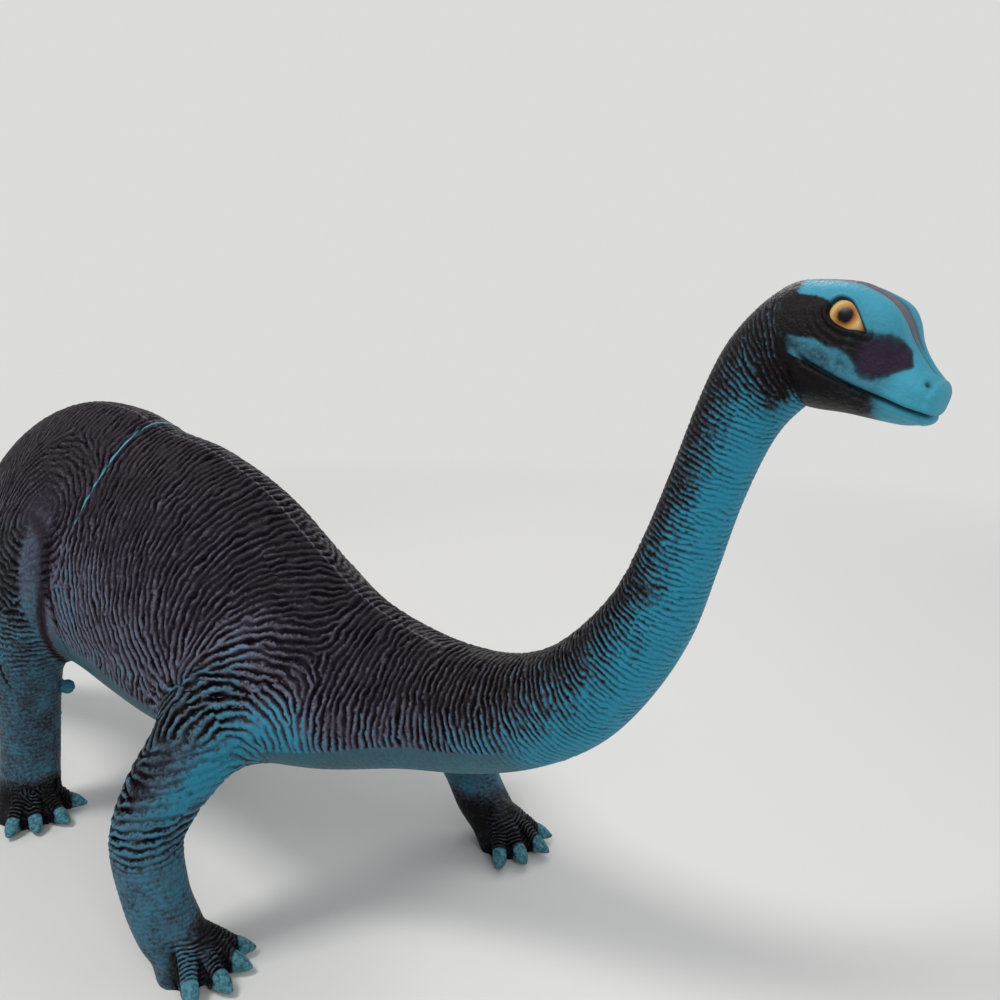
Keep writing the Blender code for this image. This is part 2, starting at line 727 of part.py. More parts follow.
def cut_plug_hole(shell, place, direction, neck):
    """The round hole that a leg's plug passes through."""
    radius = PLUG_DIAMETER / 2 + SEAM_GAP
    profile = ((-neck - CUT_OVERRUN, radius), (neck + CUT_OVERRUN, radius))
    combine(shell, turned("plug_hole", profile, place, direction, AROUND_LEG), "DIFFERENCE")


def give_material(obj):
    red, green, blue = VINYL_COLOURS[obj.name]
    material = bpy.data.materials.new(obj.name + "_vinyl")
    material.use_nodes = True
    shader = material.node_tree.nodes["Principled BSDF"]
    shader.inputs["Base Color"].default_value = (red, green, blue, 1)
    shader.inputs["Roughness"].default_value = VINYL_ROUGHNESS
    obj.data.materials.clear()
    obj.data.materials.append(material)


def stand_on_origin(pieces):
    """Parents the pieces to one empty and puts the middle of the figure's base at the origin."""
    corners = [obj.matrix_world @ vertex.co for obj in pieces for vertex in obj.data.vertices]
    middle_x = (min(c.x for c in corners) + max(c.x for c in corners)) / 2
    middle_y = (min(c.y for c in corners) + max(c.y for c in corners)) / 2
    base = bpy.data.objects.new("figure", None)
    bpy.context.scene.collection.objects.link(base)
    for obj in pieces:
        obj.parent = base
    base.location = (-middle_x, -middle_y, 0)


def main():
    clear_scene()
    trunk = open_shell("trunk_shell", HIP_SEAM_STATION, HEAD_SEAM_STATION)
    hindquarters = open_shell("hindquarters_shell", TAIL_SEAM_STATION, HIP_SEAM_STATION)
    tail = make_tail()
    head = make_head()
    pieces = [trunk, hindquarters, tail, head]
    fore = (FORELEG_SHARES, FORELEG_HEIGHT, FORELEG_THICKNESS, SHOULDER_PLACE, SHOULDER_TRACK)
    hind = (HIND_LEG_SHARES, HIND_LEG_HEIGHT, HIND_LEG_THICKNESS, HIP_PLACE, HIP_TRACK)
    legs = (
        ("right_foreleg", fore, RIGHT_FORE_STRIDE, RIGHT_FORE_SPREAD, RIGHT_FORE_BOW, 0, -1, trunk),
        ("left_foreleg", fore, LEFT_FORE_STRIDE, LEFT_FORE_SPREAD, LEFT_FORE_BOW, LEFT_FORE_TURN, 1, trunk),
        ("right_hind_leg", hind, RIGHT_HIND_STRIDE, RIGHT_HIND_SPREAD, RIGHT_HIND_BOW, 0, -1, hindquarters),
        ("left_hind_leg", hind, LEFT_HIND_STRIDE, LEFT_HIND_SPREAD, LEFT_HIND_BOW, 0, 1, hindquarters),
    )
    for name, kind, stride, spread, bow, turn, side, shell in legs:
        rows = leg_rows(*kind, stride, spread, bow, side)
        toes = FORE_TOE_SHARES if kind is fore else HIND_TOE_SHARES
        plug_share = FORE_PLUG_SHARE if kind is fore else HIND_PLUG_SHARE
        leg, place, direction, neck = make_leg(name, rows, toes, turn, side, plug_share)
        cut_plug_hole(shell, place, direction, neck)
        pieces.append(leg)
    for obj in pieces:
        give_material(obj)
        obj.data.shade_smooth()
        obj.data.set_sharp_from_angle(angle=SHARP_EDGE)
    stand_on_origin(pieces)


main()
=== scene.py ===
# %% [markdown]
# A long-necked toy dinosaur of soft vinyl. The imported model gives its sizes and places.
# This script rebuilds every casting's skin finely enough to carry the folds and pebbles of the
# real one, paints it, and photographs it on a pale table.

import itertools
import math
from types import SimpleNamespace

import bmesh
import bpy
import numpy as np
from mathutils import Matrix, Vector, noise
from mathutils.bvhtree import BVHTree


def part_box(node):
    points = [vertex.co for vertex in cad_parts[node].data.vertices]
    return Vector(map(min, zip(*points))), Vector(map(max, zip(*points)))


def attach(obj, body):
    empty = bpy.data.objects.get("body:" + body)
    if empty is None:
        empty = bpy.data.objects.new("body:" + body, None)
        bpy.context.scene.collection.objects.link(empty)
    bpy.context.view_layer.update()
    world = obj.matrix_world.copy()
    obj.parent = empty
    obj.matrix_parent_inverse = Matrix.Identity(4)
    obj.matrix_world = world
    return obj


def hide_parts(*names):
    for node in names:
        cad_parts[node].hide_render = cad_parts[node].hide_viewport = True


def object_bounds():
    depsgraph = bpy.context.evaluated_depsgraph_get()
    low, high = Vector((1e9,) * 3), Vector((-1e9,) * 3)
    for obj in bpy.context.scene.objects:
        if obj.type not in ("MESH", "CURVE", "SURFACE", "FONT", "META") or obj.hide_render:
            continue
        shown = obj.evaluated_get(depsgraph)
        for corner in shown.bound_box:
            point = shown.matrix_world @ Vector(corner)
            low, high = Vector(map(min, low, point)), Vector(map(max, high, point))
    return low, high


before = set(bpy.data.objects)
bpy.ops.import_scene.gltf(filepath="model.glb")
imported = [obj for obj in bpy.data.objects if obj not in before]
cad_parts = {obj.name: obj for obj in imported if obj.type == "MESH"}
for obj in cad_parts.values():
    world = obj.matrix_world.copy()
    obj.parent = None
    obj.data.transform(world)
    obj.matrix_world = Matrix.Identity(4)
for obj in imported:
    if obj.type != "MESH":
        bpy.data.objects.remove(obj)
CAD_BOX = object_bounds()
MM = 0.001
print("nodes", sorted(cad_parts))

# %% [markdown]
# The figure was photographed close up, from its front right and a little above, so the head
# looks large beside the hips. The camera is one with an ordinary wide lens, 0.2 m from the head.

# %% Camera
CAMERA_PLACE = (0.3000, -0.2048, 0.190)
CAMERA_TURN = (math.radians(79), 0, math.radians(38))
CAMERA_LENS = 36.108


def new_object(name, data):
    """An object with its data, in the scene."""
    obj = bpy.data.objects.new(name, data)
    bpy.context.scene.collection.objects.link(obj)
    return obj


camera = new_object("camera", bpy.data.cameras.new("camera"))
camera.location = CAMERA_PLACE
camera.rotation_euler = CAMERA_TURN
camera.data.lens = CAMERA_LENS
camera.data.sensor_width = 36
camera.data.clip_start = 0.01
bpy.context.scene.camera = camera
print("camera at", CAMERA_PLACE, "with a lens of", CAMERA_LENS, "mm")

# %% [markdown]
# The castings' sizes are repeated here from the part, in metres. The body could be sculpted by
# hand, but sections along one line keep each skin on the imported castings. Each row has its
# share of the length, its height, its depth and width, and how far it narrows at its top. A row
# of the head has its height above and below its middle, its width and its share of the pitch.

# %% Sizes of the body
TRUNK_LENGTH = 0.150
BACK_HEIGHT = 0.154
TRUNK_DEPTH = 0.098
TRUNK_WIDTH = 0.076
NECK_REACH = 0.106
NECK_ROOT_HEIGHT = 0.0787
NECK_RISE = 0.1043
NECK_DEPTH = 0.0174
NECK_WIDTH = 0.0172
TAIL_LENGTH = 0.195
TAIL_ROOT_DEPTH = 0.084
TAIL_ROOT_WIDTH = 0.066
HEAD_LENGTH = 0.031
HEAD_DEPTH = 0.026
HEAD_WIDTH = 0.0244
HEAD_PITCH = math.radians(20)
NECK_END_LEANS = (math.radians(46), math.radians(14))
TAIL_SHARES = (
    (1.000, 0.156, 0.060, 0.076, 0.00),
    (0.887, 0.156, 0.119, 0.152, 0.00),
    (0.723, 0.214, 0.214, 0.258, 0.00),
    (0.554, 0.325, 0.333, 0.394, 0.05),
    (0.395, 0.461, 0.524, 0.576, 0.10),
    (0.262, 0.578, 0.750, 0.788, 0.15),
    (0.128, 0.656, 1.000, 1.000, 0.22),
)
TRUNK_SHARES = (
    (-0.113, 0.688, 0.980, 0.960, 0.28),
    (0.040, 0.682, 1.000, 0.974, 0.32),
    (0.167, 0.659, 0.959, 0.974, 0.36),
    (0.320, 0.636, 0.949, 1.000, 0.40),
    (0.493, 0.597, 0.867, 1.000, 0.47),
    (0.667, 0.545, 0.704, 0.921, 0.52),
    (0.840, 0.513, 0.541, 0.724, 0.47),
    (1.000, 0.511, 0.404, 0.566, 0.20),
)
NECK_SHARES = (
    (0.189, 0.012, 1.954, 2.093, 0.00),
    (0.358, 0.058, 1.724, 1.860, 0.00),
    (0.500, 0.137, 1.563, 1.628, 0.00),
    (0.613, 0.252, 1.379, 1.395, 0.00),
    (0.703, 0.386, 1.207, 1.198, 0.00),
    (0.764, 0.535, 1.069, 1.070, 0.00),
    (0.819, 0.688, 1.000, 1.000, 0.00),
    (0.877, 0.832, 1.057, 1.023, 0.00),
    (0.934, 0.928, 1.218, 1.093, 0.00),
    (1.000, 0.992, 1.370, 1.209, 0.00),
)
HEAD_SHARES = (
    (0.161, 0.568, 0.423, 0.943, 0.30),
    (0.323, 0.615, 0.385, 1.000, 0.80),
    (0.484, 0.577, 0.338, 0.984, 1.00),
    (0.613, 0.477, 0.308, 0.869, 1.00),
    (0.710, 0.354, 0.288, 0.738, 1.00),
    (0.839, 0.231, 0.254, 0.623, 1.00),
    (0.935, 0.164, 0.206, 0.505, 1.00),
)
TAIL_SEAM_STATION = 5.3
HIP_SEAM_STATION = 8.7
NECK_ROOT_STATION = 14.6
HEAD_SEAM_STATION = 24.0
SNOUT_TIP_SHARE = 1.012
SNOUT_BLUNTNESS = 0.85
print("sections", [len(rows) for rows in (TAIL_SHARES, TRUNK_SHARES, NECK_SHARES, HEAD_SHARES)])


# %% Reading the body line
def ease(low, high, value):
    """From 0 at low to 1 at high, with soft ends. It falls where low is the larger of the two."""
    share = np.clip((value - low) / (high - low), 0, 1)
    return share * share * (3 - 2 * share)


def hump(value, middle, width):
    return np.exp(-(((value - middle) / width) ** 2))


def even_angles(count):
    """Angles that divide a full turn evenly."""
    return 2 * math.pi * np.arange(count) / count


def read_rows(rows, at):
    """Rows read at fractional stations, on a smooth curve through all of them."""
    rows = np.asarray(rows, float)
    at = np.atleast_1d(np.asarray(at, float))
    last = len(rows) - 1
    low = np.clip(np.floor(at).astype(int), 0, last - 1)
    part = (at - low)[:, None]
    start, end = rows[low], rows[low + 1]
    before = np.where((low > 0)[:, None], rows[np.maximum(low - 1, 0)], 2 * start - end)
    after = np.where((low < last - 1)[:, None], rows[np.minimum(low + 2, last)], 2 * end - start)
    bend = 2 * before - 5 * start + 4 * end - after
    twist = 3 * (start - end) + after - before
    return start + 0.5 * part * (end - before + part * (bend + part * twist))


def body_rows():
    """Each row: x, z, height above and below the middle, half width, narrowing and lean."""
    rows = []
    tail_root = TRUNK_SHARES[0][0] * TRUNK_LENGTH
    for shares, start, reach, foot, rise, deep, wide in (
        (TAIL_SHARES, tail_root, -TAIL_LENGTH, 0, BACK_HEIGHT, TAIL_ROOT_DEPTH, TAIL_ROOT_WIDTH),
        (TRUNK_SHARES, 0, TRUNK_LENGTH, 0, BACK_HEIGHT, TRUNK_DEPTH, TRUNK_WIDTH),
        (NECK_SHARES, TRUNK_LENGTH, NECK_REACH, NECK_ROOT_HEIGHT, NECK_RISE, NECK_DEPTH, NECK_WIDTH),
    ):
        for along, height, depth, width, narrowing in shares:
            x, z, half = start + along * reach, foot + height * rise, depth * deep / 2
            rows.append([x, z, half, half, width * wide / 2, narrowing])
    last = len(rows) - 1
    leans = []
    for index in range(len(rows)):
        behind, ahead = rows[max(index - 1, 0)], rows[min(index + 1, last)]
        leans.append(math.atan2(ahead[1] - behind[1], ahead[0] - behind[0]))
    leans[-len(NECK_END_LEANS) :] = NECK_END_LEANS
    for row, lean in zip(rows, leans):
        row.append(lean)
    neck_x, neck_z = rows[-1][:2]
    for along, top, bottom, width, turn in HEAD_SHARES:
        x = neck_x + along * HEAD_LENGTH * math.cos(HEAD_PITCH)
        z = neck_z - along * HEAD_LENGTH * math.sin(HEAD_PITCH)
        half_width = width * HEAD_WIDTH / 2
        rows.append([x, z, top * HEAD_DEPTH, bottom * HEAD_DEPTH, half_width, 0, -turn * HEAD_PITCH])
    return np.array(rows)


BODY_ROWS = body_rows()
HEAD_START = len(TAIL_SHARES) + len(TRUNK_SHARES) + len(NECK_SHARES) - 1
LAST_STATION = len(BODY_ROWS) - 1
tail_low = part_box("tail_shell")[0]
trunk_low, trunk_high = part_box("trunk_shell")
TAIL_TIP_X = BODY_ROWS[0][0] - BODY_ROWS[0][2]
SHIFT = np.array([tail_low.x - TAIL_TIP_X, (trunk_low.y + trunk_high.y) / 2, 0])
print("the part stands", SHIFT / MM, "mm from its own origin")


# %% [markdown]
# A section is an ellipse that is narrower at its top. Stations are spaced by real distance, so
# that a grid of rings has cells of nearly one size from the tail to the head.

# %% Sections of the body
def body_sections(stations, angles, raised=0):
    """Points of the sections, as an array of stations by angles, counted from the top."""
    x, z, top, bottom, half_width, narrowing, lean = read_rows(BODY_ROWS, stations).T[:, :, None]
    angles = np.asarray(angles)[None, :]
    above = np.where(np.cos(angles) > 0, top, bottom)
    rise = (above + raised) * np.cos(angles)
    side = (half_width + raised) * np.sin(angles) * (1 - narrowing * np.cos(angles))
    points = np.stack((x - rise * np.sin(lean), side, z + rise * np.cos(lean)), axis=-1)
    return points + SHIFT


LINE_STATIONS = np.linspace(0, LAST_STATION, 3000)
line_points = read_rows(BODY_ROWS, LINE_STATIONS)[:, :2]
LINE_LENGTHS = np.concatenate(([0], np.cumsum(np.linalg.norm(np.diff(line_points, axis=0), axis=1))))


def length_at(station):
    return float(np.interp(station, LINE_STATIONS, LINE_LENGTHS))


def station_at(length):
    return np.interp(length, LINE_LENGTHS, LINE_STATIONS)


def even_stations(first, last, step):
    """Stations between two ends with about this distance from each to the next."""
    count = max(int(abs(length_at(last) - length_at(first)) / step), 2)
    return station_at(np.linspace(length_at(first), length_at(last), count + 1))


print("body line", round(LINE_LENGTHS[-1] / MM), "mm")


# %% Skins as arrays
class Skin:
    """The points and four-sided faces of one piece, before it becomes a mesh."""

    def __init__(self, name, points, quads, ends=()):
        self.name = name
        self.points = np.asarray(points, float)
        self.quads = np.asarray(quads, int)
        self.ends = ends
        self.values = {}

    def crossed(self):
        """For each face, a vector square to it, as long as twice its area."""
        a, b, c, d = (self.points[self.quads[:, corner]] for corner in range(4))
        return np.cross(c - a, d - b)

    def normals(self):
        """A unit normal for each point, from the faces round it, weighted by their size."""
        face = self.crossed()
        total = np.zeros_like(self.points)
        for corner in range(4):
            for axis in range(3):
                total[:, axis] += np.bincount(self.quads[:, corner], face[:, axis], len(total))
        return total / np.maximum(np.linalg.norm(total, axis=1, keepdims=True), 1e-20)

    def areas(self):
        """The area that belongs to each point."""
        share = np.linalg.norm(self.crossed(), axis=1) / 8
        total = np.zeros(len(self.points))
        for corner in range(4):
            total += np.bincount(self.quads[:, corner], share, len(total))
        return total

    def flip(self):
        self.quads = self.quads[:, ::-1]
        self.ends = [end[::-1] for end in self.ends]


def ring_skin(name, rings):
    """A closed skin from an array of rings by points, facing out."""
    count, size = rings.shape[:2]
    here = np.arange(count - 1)[:, None] * size
    index = np.arange(size)[None, :]
    following = (index + 1) % size
    corners = (here + index, here + following, here + size + following, here + size + index)
    quads = np.stack(corners, axis=-1).reshape(-1, 4)
    ends = [list(range(size))[::-1], list(range((count - 1) * size, count * size))]
    skin = Skin(name, rings.reshape(-1, 3), quads, ends)
    middle = rings[count // 2]
    if np.dot(skin.normals()[(count // 2) * size], middle[0] - middle.mean(axis=0)) < 0:
        skin.flip()
    return skin


def make_mesh(skin, name=None):
    """The Blender object of a skin, with its painted values as attributes."""
    mesh = bpy.data.meshes.new(name or skin.name)
    sizes = np.full(len(skin.quads), 4)
    loops = skin.quads.reshape(-1)
    for end in skin.ends:
        sizes = np.append(sizes, len(end))
        loops = np.append(loops, end)
    mesh.vertices.add(len(skin.points))
    mesh.vertices.foreach_set("co", skin.points.astype(np.float32).reshape(-1))
    mesh.loops.add(len(loops))
    mesh.loops.foreach_set("vertex_index", loops.astype(np.int32))
    mesh.polygons.add(len(sizes))
    starts = np.concatenate(([0], np.cumsum(sizes)[:-1]))
    mesh.polygons.foreach_set("loop_start", starts.astype(np.int32))
    mesh.update(calc_edges=True)
    mesh.validate()
    for key, values in skin.values.items():
        attribute = mesh.attributes.new(key, "FLOAT", "POINT")
        attribute.data.foreach_set("value", np.asarray(values, np.float32))
    mesh.shade_smooth()
    return new_object(name or skin.name, mesh)


# %% [markdown]
# Each leg is a line of ellipses that stands in its own foot, and four toes with nails come out
# of the foot. The parts run into each other here, and are melted into one skin further on.
# A leg's row has its share of the height, how far it stands out towards the foot's place, its
# share of the bow, and its thickness along and across the stride. A toe's row has its share of
# the length, its height and its thickness. A toe has its angle in degrees and its share of reach.

# %% Sizes of the legs
TOE_REACH = 0.0208
TOE_THICKNESS = 0.0122
TOE_ARCH_HEIGHT = 0.0098
NAIL_LENGTH = 0.0056
NAIL_THICKNESS = 0.0078
LEFT_FORE_TURN = math.radians(12)
STANCES = {
    "right_foreleg": {"stride": 0.105, "spread": 0.053, "bow": 0.0115, "side": -1},
    "left_foreleg": {"stride": 0.136, "spread": 0.058, "bow": 0.0225, "side": 1},
    "right_hind_leg": {"stride": -0.020, "spread": 0.035, "bow": 0.0028, "side": -1},
    "left_hind_leg": {"stride": -0.013, "spread": 0.038, "bow": 0.0045, "side": 1},
}
FORELEG_SHARES = (
    (-0.030, 1.000, 0.000, 0.930, 0.930),
    (0.073, 1.013, 0.100, 0.980, 1.000),
    (0.171, 1.068, 0.390, 0.990, 1.020),
    (0.305, 1.120, 0.640, 1.000, 1.033),
    (0.488, 1.095, 1.000, 1.087, 1.141),
    (0.634, 0.930, 0.950, 1.200, 1.290),
    (0.756, 0.700, 0.800, 1.380, 1.400),
    (0.854, 0.490, 0.750, 1.500, 1.480),
    (0.940, 0.230, 0.500, 1.400, 1.400),
    (1.000, 0.000, 0.300, 1.250, 1.250),
)
HIND_LEG_SHARES = (
    (-0.020, 1.000, 0.000, 1.080, 1.080),
    (0.051, 1.000, 0.000, 1.080, 1.080),
    (0.119, 0.944, 0.800, 1.030, 1.030),
    (0.254, 0.889, 1.000, 1.000, 1.000),
    (0.424, 0.944, 0.600, 1.095, 1.095),
    (0.593, 0.980, 0.350, 1.560, 1.200),
    (0.763, 0.900, 0.200, 2.260, 1.280),
    (0.890, 0.640, 0.100, 2.560, 1.220),
    (0.960, 0.300, 0.000, 2.200, 1.000),
    (1.000, 0.000, 0.000, 1.700, 0.800),
)
FORE = {"shares": FORELEG_SHARES, "height": 0.082, "thickness": 0.0184, "place": 0.106, "track": 0.032}
HIND = {"shares": HIND_LEG_SHARES, "height": 0.118, "thickness": 0.021, "place": -0.006, "track": 0.034}
ANKLE_SHARES = (0.073, 0.200)
FORE_TOE_SHARES = ((62, 1.000), (35, 0.975), (3, 1.000), (-29, 0.950))
HIND_TOE_SHARES = ((58, 0.950), (12, 0.975), (-22, 0.900), (-52, 0.950))
TOE_SHARES = (
    (0.05, 1.250, 0.820),
    (0.35, 1.080, 0.800),
    (0.62, 0.780, 0.760),
    (0.86, 0.500, 0.680),
    (0.97, 0.420, 0.560),
    (1.00, 0.410, 0.470),
)
NAIL_SHARES = ((0.05, 1.000, 0.780), (0.45, 0.850, 0.600), (0.80, 0.620, 0.310), (0.98, 0.520, 0.100))
TOE_GAP_DEPTH = 1.5 * MM
# A ball of flash: its place and its radius, in mm.
FLASH_NUBS = (
    (-43.0, -26.2, 51.2, 2.7),
    (-46.2, -29.0, 41.0, 1.4),
    (-50.6, -29.6, 33.0, 1.1),
    (-49.6, -31.4, 27.0, 1.1),
    (-46.6, -34.9, 21.0, 1.1),
)
print("feet ahead of the hips, in mm", [stance["stride"] / MM for stance in STANCES.values()])


# %% Legs and toes
UP = np.array([0, 0, 1])


def leg_rows(shares, height, thickness, place, track, stride, spread, bow, side):
    """Rows of one leg's line: x, y, z and half thickness along and across the stride."""
    rows = []
    for up, out, back, along, across in shares:
        x = stride + (place - stride) * max(up, 0) - back * bow
        y = side * (track / 2 + out * (spread - track / 2))
        rows.append((x, y, up * height, along * thickness / 2, across * thickness / 2))
    return np.array(rows)


def toe_directions(name):
    """For each toe of a leg: its outward direction and the length of its flesh."""
    _, toes, turn, side = LEGS[name]
    for degrees, reach_share in toes:
        angle = math.radians(degrees) - turn
        outward = np.array([math.cos(angle), -side * math.sin(angle), 0])
        yield outward, reach_share * TOE_REACH - NAIL_LENGTH


def toe_places(skin):
    """For each toe: how far a leg's points lie along and beside it, its flesh length and direction."""
    x, y = LEGS[skin.name][0][1][:2]
    local = skin.points - np.array([x, y, 0]) - SHIFT
    for outward, flesh in toe_directions(skin.name):
        yield local @ outward, np.abs(local @ np.cross(outward, UP)), flesh, outward


def unit(vectors):
    return vectors / np.linalg.norm(vectors, axis=-1, keepdims=True)


def leg_sections(rows, stations, angles):
    """Points of a leg's sections, which lie flat in the foot and square to the leg above it."""
    here = read_rows(rows, stations)
    last = len(rows) - 1
    ahead = read_rows(rows, np.minimum(stations + 0.01, last))
    behind = read_rows(rows, np.maximum(stations - 0.01, 0))
    direction = unit(ahead[:, :3] - behind[:, :3])
    height = here[:, 2] / rows[-1][2]
    level = np.clip((height - ANKLE_SHARES[0]) / (ANKLE_SHARES[1] - ANKLE_SHARES[0]), 0, 1)[:, None]
    direction = unit(direction * level + UP * (1 - level))
    along = unit(np.array([1, 0, 0]) - direction * direction[:, :1])
    across = np.cross(direction, along)
    angles = np.asarray(angles)[None, :, None]
    reach_along = here[:, None, 3:4] * np.cos(angles) * along[:, None]
    reach_across = here[:, None, 4:5] * np.sin(angles) * across[:, None]
    return here[:, None, :3] + reach_along + reach_across + SHIFT


def toe_rings(foot, outward, flesh, size):
    """Rings of one toe and its nail, from inside the foot to the tip."""
    sideways = np.cross(outward, UP)
    rows = []
    for along, height, thickness in TOE_SHARES:
        rows.append((along * flesh, height * TOE_ARCH_HEIGHT, thickness * TOE_THICKNESS / 2))
    end_height = rows[-1][1]
    for along, height, thickness in NAIL_SHARES:
        rows.append((flesh + along * NAIL_LENGTH, height * end_height, thickness * NAIL_THICKNESS / 2))
    turns = even_angles(size)
    circle = np.cos(turns)[:, None] * sideways + np.sin(turns)[:, None] * UP
    rings = [foot + outward * along + UP * height + radius * circle + SHIFT for along, height, radius in rows]
    return np.array(rings)


LEGS = {}
for name, stance in STANCES.items():
    kind, toes = (FORE, FORE_TOE_SHARES) if "fore" in name else (HIND, HIND_TOE_SHARES)
    turn = LEFT_FORE_TURN if name == "left_foreleg" else 0
    LEGS[name] = (leg_rows(**kind, **stance), toes, turn, stance["side"])
print("legs", list(LEGS))


# %% [markdown]
# A voxel remesh melts a leg's column, toes and nails into one even skin, as clay would be. A
# boolean union would leave sharp creases and long thin faces there instead. Three rounds of
# smoothing take out the small steps that the voxels leave.

# %% Melting a leg into one skin
LEG_VOXEL = 0.40 * MM
SMOOTH_ROUNDS = 3
SMOOTH_FACTOR = 0.6
LEG_GRID = (80, 48)
TOE_POINTS = 24


def melted(name, parts):
    """One even skin round several closed forms that run into each other."""
    objects = [make_mesh(part, f"{name}_form") for part in parts]
    mesh = bpy.data.meshes.new(name)
    joined = bmesh.new()
    for obj in objects:
        joined.from_mesh(obj.data)
    joined.to_mesh(mesh)
    joined.free()
    for obj in objects:
        bpy.data.objects.remove(obj, do_unlink=True)
    obj = new_object(name, mesh)
    remesh = obj.modifiers.new("melt", "REMESH")
    remesh.mode = "VOXEL"
    remesh.voxel_size = LEG_VOXEL
    smooth = obj.modifiers.new("smooth", "SMOOTH")
    smooth.iterations = SMOOTH_ROUNDS
    smooth.factor = SMOOTH_FACTOR
    result = obj.evaluated_get(bpy.context.evaluated_depsgraph_get()).to_mesh()
    points = np.empty(len(result.vertices) * 3, np.float32)
    result.vertices.foreach_get("co", points)
    loops = np.empty(len(result.loops), np.int32)
    result.loops.foreach_get("vertex_index", loops)
    bpy.data.objects.remove(obj, do_unlink=True)
    return Skin(name, points.reshape(-1, 3), loops.reshape(-1, 4))


def ball(place, radius):
    """A small ball, such as the flash that was left on the front of the right hind leg."""
    lifts = np.linspace(0.05, math.pi - 0.05, 12)[:, None]
    turns = even_angles(16)[None, :]
    x, y = np.sin(lifts) * np.cos(turns), np.sin(lifts) * np.sin(turns)
    z = np.cos(lifts) * np.ones_like(turns)
    return ring_skin("ball", np.array(place) * MM + radius * MM * np.stack((x, y, z), axis=-1))


def leg_skin(name):
    rows = LEGS[name][0]
    stations = np.linspace(0, len(rows) - 1, LEG_GRID[0])
    parts = [ring_skin(name, leg_sections(rows, stations, even_angles(LEG_GRID[1])))]
    foot = np.array([rows[1][0], rows[1][1], 0])
    for outward, flesh in toe_directions(name):
        parts.append(ring_skin(name, toe_rings(foot, outward, flesh, TOE_POINTS)))
    if name == "right_hind_leg":
        parts += [ball(nub[:3], nub[3]) for nub in FLASH_NUBS]
    return melted(name, parts)


legs = {name: leg_skin(name) for name in LEGS}
for name, skin in legs.items():
    print(name, len(skin.points), "points")

# %% [markdown]
# Each casting of the body is a grid of rings and not a sculpted mesh, so that every point knows
# its place along the body and its turn from the top, which the folds and the paint go by. The
# rings are laid closer together on the neck and head, where the folds are finer.

# %% Body skins
FINE = 1
RUN_ON = 2.4 * MM
SINK_SHARE = 0.25
LEAST_SINK = 0.05 * MM
HIP_LINE_HEIGHT = 0.34 * MM
HIP_LINE_HALF_WIDTH = 0.60 * MM
TAIL_TIP_ROUND = 1.6 * MM


def around(count):
    """Angles round a section, from its top."""
    return even_angles(int(count / FINE))


def degrees_from_top(angles):
    return np.degrees(np.minimum(angles, 2 * math.pi - angles))


def hip_line(lengths, turn):
    """The raised line that the glued hip seam leaves, gone by the lower flank."""
    line = hump(lengths, length_at(HIP_SEAM_STATION), HIP_LINE_HALF_WIDTH)
    return line * (1 - ease(66, 80, turn))


def run_on(lengths, start, end):
    """How deep a skin has sunk under its neighbour, past either end of its own stretch."""
    past = np.maximum(np.maximum(start - lengths, lengths - end), 0)
    return SINK_SHARE * past + LEAST_SINK * (past > 0)


def body_skin(name, first, last, step, count):
    """A casting's skin. It runs on a little way under its neighbours."""
    start, end = length_at(first), length_at(last)
    low, high = max(start - RUN_ON, 0), end + RUN_ON
    lengths = np.linspace(low, high, int((high - low) / (step * FINE)) + 1)
    angles = around(count)
    turn = degrees_from_top(angles)
    to_tip = np.clip(1 - lengths / TAIL_TIP_ROUND, 0, 1)
    rounding = TAIL_TIP_ROUND * (1 - np.sqrt(1 - to_tip**2))
    raised = HIP_LINE_HEIGHT * hip_line(lengths[:, None], turn[None])
    raised = raised - (run_on(lengths, start, end) + rounding)[:, None]
    skin = ring_skin(name, body_sections(station_at(lengths), angles, raised))
    skin.lengths = np.repeat(lengths, len(angles))
    skin.stations = np.repeat(station_at(lengths), len(angles))
    skin.turn = np.tile(turn, len(lengths))
    return skin


trunk = body_skin("trunk", HIP_SEAM_STATION, NECK_ROOT_STATION, 0.42 * MM, 400)
neck = body_skin("neck", NECK_ROOT_STATION, HEAD_SEAM_STATION, 0.28 * MM, 220)
hindquarters = body_skin("hindquarters", TAIL_SEAM_STATION, HIP_SEAM_STATION, 0.5 * MM, 320)
tail = body_skin("tail", 0, TAIL_SEAM_STATION, 0.7 * MM, 240)
print("points", {skin.name: len(skin.points) for skin in (trunk, neck, hindquarters, tail)})

# %% [markdown]
# The head is moulded more finely than the rest. Its skin is a grid whose points know their share
# of the head's length and their turn from the crown, so that brows, lids, lips, nostrils and
# folds can be raised or pressed in where they lie on the real face.

# %% Sizes of the face
BROW_HEIGHT = 1.3 * MM
# A swell or hollow of the face: its share of the head's length, its degrees from the crown, how
# far it reaches along and round, and its height as a share of the brow's.
FACE_SHARES = (
    (0.420, 34, 0.260, 15, 1.00),
    (0.580, 40, 0.130, 18, 1.30),
    (0.300, 80, 0.200, 16, -0.45),
    (0.660, 62, 0.140, 20, -0.55),
    (0.600, 0, 0.250, 12, -0.50),
    (0.870, 66, 0.120, 26, 0.50),
    (0.240, 118, 0.200, 18, 0.40),
)
# The mouth line, in shares of the head's length and depth.
MOUTH_LINE_SHARES = ((0.130, -0.010), (0.350, -0.035), (0.600, -0.070), (0.850, -0.100), (1.150, -0.105))
MOUTH_CORNER_SHARE = 0.165
MOUTH_DEPTH = 0.9 * MM
MOUTH_WIDTH = 0.42 * MM
EYE_SHARE = 0.352
EYE_TURN = 50.6
